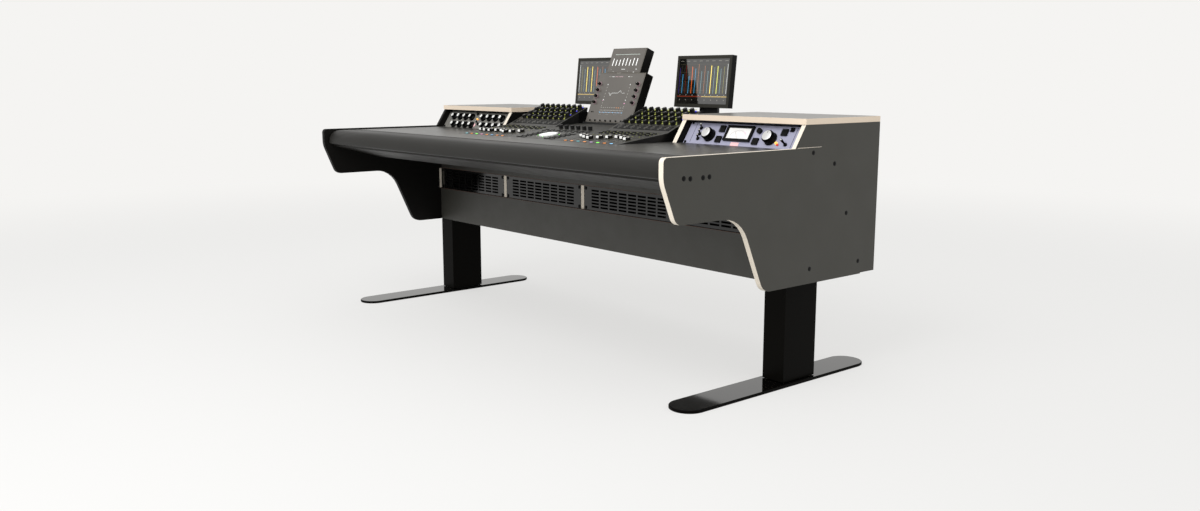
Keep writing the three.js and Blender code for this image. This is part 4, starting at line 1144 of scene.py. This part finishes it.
def add_toggle(piece, x, y, lean):
    """A toggle switch: a hexagonal nut, a bush and a leaning black lever, whose glowing silver tip is
    a painted glint.
    """
    piece.turned("knob", x, y, *TOGGLE_NUT)
    piece.turned("knob", x, y, *TOGGLE_BUSH)
    piece.turned("knob", x, y, *TOGGLE_LEVER, lean=lean)
    # The glowing tip is a painted glint.
    piece.turned("painted_glint", x, y, *TOGGLE_TIP, lean=lean)


def add_rack_ends(piece):
    """Corner screws, and black films for the score lines near both ends and the gap over a rack front,
    which are painted shade.
    """
    for side in SIDES:
        for up in RACK_SCREW_UPS:
            piece.screw(side * (RACK_FRONT_WIDTH / 2 - RACK_SCREW_INSET), up, RACK_SCREW)
        piece.mark("groove", side * SCORE_X, RACK_OPENING / 2, *SCORE)
    piece.mark("groove", 0, RACK_OPENING - GAP_LINE_DROP, *GAP_LINE)


# Right rack unit
COMPRESSOR_KNOBS = (-0.278, 0.259)
COMPRESSOR_UP = 0.405 * RACK_OPENING
COMPRESSOR_TOGGLES = (
    (-0.186, 0.062, (0.5, 0.25)),
    (-0.182, 0.04, (0.5, 0.25)),
    (-0.181, 0.022, (0.5, 0.25)),
    (0.191, 0.019, (-0.3, 0.3)),
)
PUSH_KEY = (0.196, 0.071, 0.014, 0.014, 0, 0.005, 0.0008)
BARE_LABEL = (-0.013, 0.0105, 0.034, 0.0125, 0, 0.0009, 0.0003)
JEWEL = ((0.005, 0), (0.005, 0.0018), (0.004, 0.0026), (0.0038, 0.005), (0.0022, 0.0066))
COMPRESSOR_LAMPS = (
    ("amber", 0.154, 0.022, JEWEL, 20),
    ("red", 0.161, 0.017, ((0.004, 0), (0.004, 0.002), (0.003, 0.004)), 16),
)
SCALE_DOTS = 11
SCALE_REACH = 0.0252
SCALE_DOT = (((0.0011, 0), (0.0011, 0.0002)), 8)
METER_FACE_X = -0.02 * RACK_FRONT_WIDTH
METER_FACE_Y = 0.529 * RACK_OPENING
METER_FACE_LEVEL = 0.004
METER_FACE_HEIGHT = 0.0006
METER_FACE = (0.0955, 0.0395, METER_FACE_LEVEL, METER_FACE_HEIGHT, FILM)
METER_FACE_TOP = METER_FACE_LEVEL + METER_FACE_HEIGHT
DIAL_Y = METER_FACE_Y - 0.024
DIAL_OUTER = (0.04, 0.036)
DIAL_INNER = (0.036, 0.0325)
DIAL_START = 150
DIAL_HOT = 62
DIAL_END = 34
# Look, ends, steps and width of the dial's two arcs
DIAL_ARCS = (("dim_pink", DIAL_START, DIAL_HOT, 14, 0.0005), ("pink", DIAL_HOT, DIAL_END, 6, 0.001))
DIAL_TICKS = 12
DIAL_TICK_WIDTH = 0.0004
NEEDLE_ANGLE = math.radians(118)
NEEDLE_REACH = (0.037, 0.034)
NEEDLE_FOOT_Y = METER_FACE_Y - 0.0185
NEEDLE = (0.0005, METER_FACE_TOP + 0.0004, 0.0002)


def add_dial(piece):
    """The needle meter's arcs, ticks and needle."""
    center = (METER_FACE_X, DIAL_Y)
    for look, start, end, steps, width in DIAL_ARCS:
        arc = [arc_point(*center, *DIAL_OUTER, angle) for angle in arc_angles(start, end, steps)]
        piece.ribbon(look, arc, width, METER_FACE_TOP)
    for angle in arc_angles(DIAL_START, DIAL_END, DIAL_TICKS):
        tick = [arc_point(*center, *reach, angle) for reach in (DIAL_INNER, DIAL_OUTER)]
        piece.ribbon("dim_pink", tick, DIAL_TICK_WIDTH, METER_FACE_TOP)
    tip = arc_point(*center, *NEEDLE_REACH, NEEDLE_ANGLE)
    piece.ribbon("dim_pink", [(METER_FACE_X, NEEDLE_FOOT_Y), tip], *NEEDLE)


def add_compressor_face():
    """Meter, switches, lamps, scales and bare label on the right rack unit."""
    piece = Piece("compressor_face", rack_frame(1))
    add_rack_ends(piece)
    for toggle in COMPRESSOR_TOGGLES:
        add_toggle(piece, *toggle)
    piece.pad("knob", *PUSH_KEY)
    piece.pad("label", *BARE_LABEL)
    for lamp in COMPRESSOR_LAMPS:
        piece.turned(*lamp)
    for share in COMPRESSOR_KNOBS:
        center = (share * RACK_FRONT_WIDTH, COMPRESSOR_UP)
        for angle in arc_angles(SCALE_START, SCALE_END, SCALE_DOTS - 1):
            piece.turned("print", *arc_point(*center, SCALE_REACH, SCALE_REACH, angle), *SCALE_DOT)
    piece.pad("meter", METER_FACE_X, METER_FACE_Y, *METER_FACE)
    add_dial(piece)
    piece.finish("body")


KNOB_HEIGHT = 0.024
BIG_CAP_RINGS = (
    (0.0168, KNOB_HEIGHT - 0.0002),
    (0.0168, KNOB_HEIGHT + 0.0009),
    (0.0154, KNOB_HEIGHT + 0.0014),
)
INDEX_LINE_Y = 0.0115
INDEX_LINE = (0.0012, 0.007, KNOB_HEIGHT + 0.0014, 0.0003)
RIBS = 24
RIB_REACH = 0.02
RIB = (((0.0011, 0.0062), (0.001, KNOB_HEIGHT - 0.003), (0.0006, KNOB_HEIGHT - 0.002)), 6)


def add_knob_faces():
    """Turned metal caps with an index line, and ribbed skirts, on the right unit's big knobs."""
    for number, share in enumerate(COMPRESSOR_KNOBS, 1):
        frame = rack_frame(1) @ Matrix.Translation((share * RACK_FRONT_WIDTH, COMPRESSOR_UP, 0))
        piece = Piece(f"compressor_knob_{number}_face", frame)
        piece.turned("turned_metal", 0, 0, BIG_CAP_RINGS, 32)
        piece.mark("knob", 0, INDEX_LINE_Y, *INDEX_LINE)
        for angle in circle_angles(RIBS):
            piece.turned("knob", *arc_point(0, 0, RIB_REACH, RIB_REACH, angle), *RIB)
        piece.finish(f"compressor_knob_{number}")


# Left rack unit, with each row's lead, height share and shift of its knobs' turns
EQUALISER_ROWS = ((0.0, 0.64, 6), (0.05, 0.2, 2))
EQUALISER_GROUPS = (-0.385, 0.085)
EQUALISER_GROUP = 4
EQUALISER_PITCH = 0.096
EQUALISER_TOP = 0.02 - 0.0016
TURN_MIDDLE = 100
TURN_STEP = 37
SKIRT = (((0.0166, 0), (0.0166, 0.005), (0.0148, 0.0075), (0.0136, 0.0085)), 24)
INDEX_RINGS = (
    (0.0076, EQUALISER_TOP - 0.0002),
    (0.0076, EQUALISER_TOP + 0.001),
    (0.0066, EQUALISER_TOP + 0.0016),
)
TIP_REACH = 0.0066
INDEX_TIP = (0.0016, EQUALISER_TOP + 0.0014, 0.0006)
SKIRT_DOTS = 9
SKIRT_DOT_REACH = 0.0186
SKIRT_DOT = (((0.0009, 0), (0.0009, 0.0002)), 6)
EQUALISER_LAMPS = (
    ("amber", -0.004, 0.05, ((0.004, 0), (0.004, 0.002), (0.0024, 0.004)), 16),
    ("orange", 0.004, 0.047, ((0.0034, 0), (0.0034, 0.0016), (0.0024, 0.003)), 16),
    ("label", -0.006, 0.02, ((0.0078, 0), (0.0078, 0.0012), (0.006, 0.002)), 20),
)
EQUALISER_TOGGLES = ((-0.016, 0.073, (0.3, 0.3)), (0.018, 0.026, (0.3, 0.3)))


def add_index_knob(piece, x, up, turn):
    """The skirt, white cap, index line and scale dots of one knob."""
    piece.turned("knob", x, up, *SKIRT)
    piece.turned("cap_white", x, up, INDEX_RINGS, 24)
    piece.ribbon("knob", [(x, up), arc_point(x, up, TIP_REACH, TIP_REACH, turn)], *INDEX_TIP)
    for angle in arc_angles(SCALE_START, SCALE_END, SKIRT_DOTS - 1):
        piece.turned("print", *arc_point(x, up, SKIRT_DOT_REACH, SKIRT_DOT_REACH, angle), *SKIRT_DOT)


def add_equaliser_face():
    """White index caps, lamps and switches on the left rack unit."""
    piece = Piece("equaliser_face", rack_frame(-1))
    add_rack_ends(piece)
    for lead, up_share, shift in EQUALISER_ROWS:
        for group in EQUALISER_GROUPS:
            for index in range(EQUALISER_GROUP):
                x = (group + lead + index * EQUALISER_PITCH) * RACK_FRONT_WIDTH
                step = (index * 3 + shift) % 5 - 2
                turn = math.radians(TURN_MIDDLE - TURN_STEP * step)
                add_index_knob(piece, x, up_share * RACK_OPENING, turn)
    for lamp in EQUALISER_LAMPS:
        piece.turned(*lamp)
    for toggle in EQUALISER_TOGGLES:
        add_toggle(piece, *toggle)
    piece.finish("body")


# Side panels, with the places of their screws in the part's own Y and Z
SIDE_SCREWS = (
    (0.009, 0.722), (0.114, 0.684), (0.183, 0.525), (0.255, 0.363), (0.009, 0.366),
    (-0.539, 0.678), (-0.514, 0.676), (-0.465, 0.676), (-0.44, 0.677),
)
SIDE_SCREW_HEAD = (((0.0072, 0), (0.0072, 0.0004), (0.0062, 0.0008)), 16)
SIDE_SCREW_SOCKET = (((0.0028, 0.0008), (0.0028, 0.0009)), 6)
LEDGE_Z = 0.738
LEDGE_START = -0.062 + SHIFT_Y
LEDGE_END = 0.048 + SHIFT_Y
LEDGE_INSET = 0.0003
LEDGE_WIDTH = 0.0034
LEDGE_POINT = 0.0002
LEDGE_HEIGHT = 0.001


def add_side_screws(side):
    """Flat dark screw heads on the outer face of a side panel."""
    piece = Piece(f"side_screws_{SIDES[side]}", side_face_frame(side * HALF_WIDTH, side))
    for y, z in SIDE_SCREWS:
        piece.turned("knob", side * (y + SHIFT_Y), z, *SIDE_SCREW_HEAD)
        # The socket is a black disc: painted shade.
        piece.turned("groove", side * (y + SHIFT_Y), z, *SIDE_SCREW_SOCKET)
    piece.finish("body")


def add_ledge_line(side):
    """The pale ply bared along the planed ledge of a side panel."""
    piece = Piece(f"ledge_line_{SIDES[side]}", Matrix.Identity(4))
    outer = side * (HALF_WIDTH - LEDGE_INSET)
    foot = LEDGE_Z + FILM
    corners = (
        (outer - side * LEDGE_WIDTH, LEDGE_START),
        (outer, LEDGE_START),
        (outer, LEDGE_END),
        (outer - side * LEDGE_POINT, LEDGE_END),
    )
    piece.loft("batten", [[(x, y, z) for x, y in corners] for z in (foot, foot + LEDGE_HEIGHT)])
    piece.finish("body")


# Vents and bays
VENT_SCREW = 0.0052
VENT_SCREW_INSET = 0.0078
VENT_WASHER = (((0.0066, 0), (0.0066, 0.0009), (0.006, 0.0012)), 20)
# Height over the floor and level of the sealed edges over and under the vents
BAY_EDGES = ((0.5492, 0), (0.4576, 0.006))
BAY_EDGE = (2.0, 0.0014)
BAY_EDGE_HEIGHT = 0.0003
BATTEN_PLACE = (-0.067 + SHIFT_Y, 0.503)
BATTEN = (0.01, 0.087, 0, 0.0016, 0.0003)


def add_vent_screws():
    """Black screws at the four corners of every vent panel."""
    piece = Piece("vent_screws", plane_at(0, VENT_FRONT_Y, VENT_FOOT_Z, math.pi / 2))
    for middle in centred(BAYS, BAY_PITCH):
        for side in SIDES:
            for up in (VENT_SCREW_INSET, VENT_HEIGHT - VENT_SCREW_INSET):
                x = middle + side * (RACK_FRONT_WIDTH / 2 - RACK_SCREW_INSET)
                piece.turned("groove", x, up, *VENT_WASHER)
                piece.screw(x, up, VENT_SCREW)
    piece.finish("body")


def add_bay_lines():
    """Thin sealed edges over and under the vents, and the pale batten at the left end."""
    piece = Piece("bay_edge_lines", plane_at(0, VENT_FRONT_Y, 0, math.pi / 2))
    for up, level in BAY_EDGES:
        piece.mark("sealer", 0, up, *BAY_EDGE, level, BAY_EDGE_HEIGHT)
    piece.finish("body")
    batten = Piece("bay_end_batten", side_face_frame(-HALF_WIDTH + BOARD, 1))
    batten.pad("batten", *BATTEN_PLACE, *BATTEN)
    batten.finish("body")


# Armrest pad
PAD_HALF = 0.9995
PAD_FRONT = -0.6 + SHIFT_Y
PAD_BACK = -0.467 + SHIFT_Y
PAD_SKIRT_Z = 0.673
PAD_BOARD_Z = 0.714
PAD_SKIRT = 0.025
PAD_FRONT_RADIUS = 0.042
PAD_ARC_STEPS = 8
PAD_CORNER = 0.006
PAD_CORNER_CUT = 0.002
PAD_SKIRT_CUT = 0.003
PAD_SKIRT_CORNER = 0.004
PAD_INSET = 0.0008
PAD_STATIONS = 80
PAD_END = 0.012
PAD_END_EASE = 0.02
PAD_VOXEL = 0.006
PAD_PRESSURE = 4.0
PAD_SWELL = 0.0012
PAD_FRAMES = 20
PAD_SMOOTHING = 0.5
PAD_SMOOTHING_STEPS = 2
HELD_BEHIND_Y = PAD_FRONT + PAD_SKIRT - 0.002
HELD_BELOW_Z = PAD_BOARD_Z + 0.004
BINDING_WIDTH = 0.012
BINDING_DEPTH = 0.006
BINDING_RISE = 0.0003


def pad_outline():
    """The pad's cross-section as (y, z) points, a little smaller than the finished pad."""
    front = PAD_FRONT + PAD_INSET
    back = PAD_BACK
    skirt = PAD_FRONT + PAD_SKIRT
    top = WORKTOP_Z - PAD_INSET
    low = PAD_SKIRT_Z + PAD_INSET
    center = (front + PAD_FRONT_RADIUS, top - PAD_FRONT_RADIUS)
    arc = arc_angles(90, 180, PAD_ARC_STEPS)
    return [
        (back, PAD_BOARD_Z),
        (back, top - PAD_CORNER),
        (back - PAD_CORNER_CUT, top - PAD_CORNER_CUT),
        (back - PAD_CORNER, top),
        *(arc_point(*center, PAD_FRONT_RADIUS, PAD_FRONT_RADIUS, angle) for angle in arc),
        (front, low + PAD_CORNER),
        (front + PAD_CORNER_CUT, low + PAD_CORNER_CUT),
        (front + PAD_CORNER, low),
        (skirt - PAD_SKIRT_CUT, low),
        (skirt, low + PAD_SKIRT_CORNER),
        (skirt, PAD_BOARD_Z),
    ]


def pad_base(name):
    """The uninflated pad: its cross-section swept along X with eased ends."""
    outline = pad_outline()
    middle_y = sum(y for y, _ in outline) / len(outline)
    middle_z = sum(z for _, z in outline) / len(outline)
    mesh = bmesh.new()
    loops = []
    for station in range(PAD_STATIONS + 1):
        x = PAD_HALF * (2 * station / PAD_STATIONS - 1)
        end = max(0.0, 1 - (PAD_HALF - abs(x)) / PAD_END)
        ease = 1 - PAD_END_EASE * end * end
        loops.append([
            mesh.verts.new((x, middle_y + (y - middle_y) * ease, middle_z + (z - middle_z) * ease))
            for y, z in outline
        ])
    join_loops(mesh, loops)
    return put(name, mesh_data(name, mesh))


def apply_modifiers(piece):
    """Puts the result of a piece's modifiers into its mesh."""
    graph = bpy.context.evaluated_depsgraph_get()
    data = bpy.data.meshes.new_from_object(piece.evaluated_get(graph))
    piece.modifiers.clear()
    piece.data = data


def rests_on_board(point):
    """True for the faces of the pad that lie on the armrest board and its front edge."""
    return point.y > HELD_BEHIND_Y and point.z < HELD_BELOW_Z


def inflate(pad):
    """Swells the pad's cover with cloth pressure, with the faces on the board held."""
    start = [vertex.co.copy() for vertex in pad.data.vertices]
    held = pad.vertex_groups.new(name="held")
    held.add([i for i, point in enumerate(start) if rests_on_board(point)], 1.0, "ADD")
    cloth = pad.modifiers.new("cover", "CLOTH")
    settings = cloth.settings
    settings.vertex_group_mass = "held"
    settings.use_pressure = True
    settings.uniform_pressure_force = PAD_PRESSURE
    settings.effector_weights.gravity = 0.0
    cloth.point_cache.frame_start = 1
    cloth.point_cache.frame_end = PAD_FRAMES
    scene = bpy.context.scene
    for frame in range(1, PAD_FRAMES + 1):
        scene.frame_set(frame)
    apply_modifiers(pad)
    scene.frame_set(1)
    for vertex, first in zip(pad.data.vertices, start):
        moved = vertex.co - first
        if rests_on_board(first):
            vertex.co = first
        elif moved.length > PAD_SWELL:
            vertex.co = first + moved.normalized() * PAD_SWELL
        vertex.co.x = max(-PAD_HALF, min(PAD_HALF, vertex.co.x))


def add_armrest_pad():
    """The padded cover that stands for the pad's solid."""
    pad = pad_base("armrest_cushion")
    remesh = pad.modifiers.new("even", "REMESH")
    remesh.mode = "VOXEL"
    remesh.voxel_size = PAD_VOXEL
    apply_modifiers(pad)
    inflate(pad)
    smooth = pad.modifiers.new("smooth", "SMOOTH")
    smooth.factor = PAD_SMOOTHING
    smooth.iterations = PAD_SMOOTHING_STEPS
    apply_modifiers(pad)
    finer = pad.modifiers.new("finer", "SUBSURF")
    finer.levels = 1
    finer.render_levels = 1
    for polygon in pad.data.polygons:
        polygon.use_smooth = True
    pad.data.materials.clear()
    pad.data.materials.append(Piece.materials["pad"])
    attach(pad, "body")
    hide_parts("armrest_pad")


def add_pad_binding():
    """The flat margin of the pad's cover along the worktop, which closes the seam."""
    frame = Matrix.Translation((0, PAD_BACK - BINDING_WIDTH / 2, WORKTOP_Z - BINDING_DEPTH))
    piece = Piece("pad_binding", frame)
    piece.mark("pad", 0, 0, 2 * PAD_HALF, BINDING_WIDTH, 0, BINDING_DEPTH + BINDING_RISE)
    piece.finish("body")


def add_pieces():
    for side in SIDES:
        add_strip_controls(side)
        add_bank_controls(side)
        add_monitor_picture(side)
        add_side_screws(side)
        add_ledge_line(side)
    for word in SIDES.values():
        for strip in range(1, STRIPS + 1):
            add_cap_line(f"fader_{word}_{strip}")
    add_centre_controls()
    add_console_wings()
    add_jog_face()
    add_display_picture()
    add_compressor_face()
    add_knob_faces()
    add_equaliser_face()
    add_vent_screws()
    add_bay_lines()
    add_armrest_pad()
    add_pad_binding()


# Stage

FLOOR_HALF = 15.0
FLOOR_GLOW = (0.6, 0.596, 0.586)
FLOOR_COLOR = (0.24, 0.24, 0.238)
FLOOR_BOUNCE = (0.62, 0.62, 0.61)
FADE_START = 2.6
FADE_END = 6.5
BACKGROUND = srgb(245, 244, 242)
WORLD_LIGHT = 0.88
KEY_POWER = 105.0
KEY_PLACE = (0.9, -2.9, 3.0)
KEY_AIM = (0, 0, 0.5)
KEY_SIZE = 3.0


def clear_tree(owner):
    """The emptied node tree of a material or a world."""
    owner.use_nodes = True
    owner.node_tree.nodes.clear()
    return owner.node_tree


def seen_rays(tree):
    """1 for the camera's own rays and for mirrored ones, and 0 for all others."""
    rays = add_node(tree, "ShaderNodeLightPath").outputs
    seen = add_node(
        tree, "ShaderNodeMath", rays["Is Camera Ray"], rays["Is Glossy Ray"], operation="MAXIMUM"
    )
    return seen.outputs[0]


def part_of(tree, kind, color, **values):
    """The shader output of a node with one colour."""
    return add_node(tree, kind, Color=(*color, 1), **values).outputs[0]


def mix_shaders(tree, share, first, second):
    return add_node(tree, "ShaderNodeMixShader", share, first, second).outputs[0]


def floor_material():
    """A pale floor that fades into the background, and that other light finds plain grey."""
    material = bpy.data.materials.new("floor_paint")
    tree = clear_tree(material)
    place = add_node(tree, "ShaderNodeTexCoord").outputs["Object"]
    reach = add_node(tree, "ShaderNodeVectorMath", place, operation="LENGTH").outputs["Value"]
    fade = add_node(tree, "ShaderNodeMapRange", Value=reach, From_Min=FADE_START, From_Max=FADE_END)
    fade.interpolation_type = "SMOOTHSTEP"
    glow = part_of(tree, "ShaderNodeEmission", FLOOR_GLOW)
    paint = part_of(tree, "ShaderNodeBsdfDiffuse", FLOOR_COLOR)
    near = add_node(tree, "ShaderNodeAddShader", glow, paint).outputs[0]
    far = part_of(tree, "ShaderNodeEmission", BACKGROUND)
    plain = part_of(tree, "ShaderNodeBsdfDiffuse", FLOOR_BOUNCE)
    seen = mix_shaders(tree, fade.outputs["Result"], near, far)
    add_node(tree, "ShaderNodeOutputMaterial", Surface=mix_shaders(tree, seen_rays(tree), plain, seen))
    return material


def make_stage():
    mesh = bpy.data.meshes.new("floor")
    corners = ((-1, -1), (1, -1), (1, 1), (-1, 1))
    mesh.from_pydata([(FLOOR_HALF * x, FLOOR_HALF * y, 0) for x, y in corners], [], [(0, 1, 2, 3)])
    mesh.materials.append(floor_material())
    put("floor", mesh)


def make_world():
    world = bpy.data.worlds.new("studio")
    bpy.context.scene.world = world
    tree = clear_tree(world)
    light = part_of(tree, "ShaderNodeBackground", (1, 1, 1), Strength=WORLD_LIGHT)
    shown = part_of(tree, "ShaderNodeBackground", BACKGROUND)
    add_node(tree, "ShaderNodeOutputWorld", Surface=mix_shaders(tree, seen_rays(tree), light, shown))


def make_lights():
    data = bpy.data.lights.new("key", "AREA")
    data.energy = KEY_POWER
    data.shape = "DISK"
    data.size = KEY_SIZE
    key = put("key", data)
    key.location = KEY_PLACE
    aim = Vector(KEY_AIM) - Vector(KEY_PLACE)
    key.rotation_euler = aim.to_track_quat("-Z", "Y").to_euler()


def make_camera():
    data = bpy.data.cameras.new("camera")
    data.lens = CAMERA_LENS
    data.sensor_width = CAMERA_SENSOR
    data.clip_end = CAMERA_REACH
    camera = put("camera", data)
    camera.location = CAMERA_PLACE
    pitch = math.radians(90 - CAMERA_PITCH)
    camera.rotation_euler = Euler((pitch, 0, math.radians(CAMERA_AZIMUTH)), "XYZ")
    bpy.context.scene.camera = camera


def main():
    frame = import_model()
    bpy.context.scene.view_settings.view_transform = "Standard"
    make_camera()
    make_world()
    make_lights()
    make_stage()
    Piece.materials = make_materials()
    dress_nodes(frame["nodes"], Piece.materials)
    add_pieces()


main()
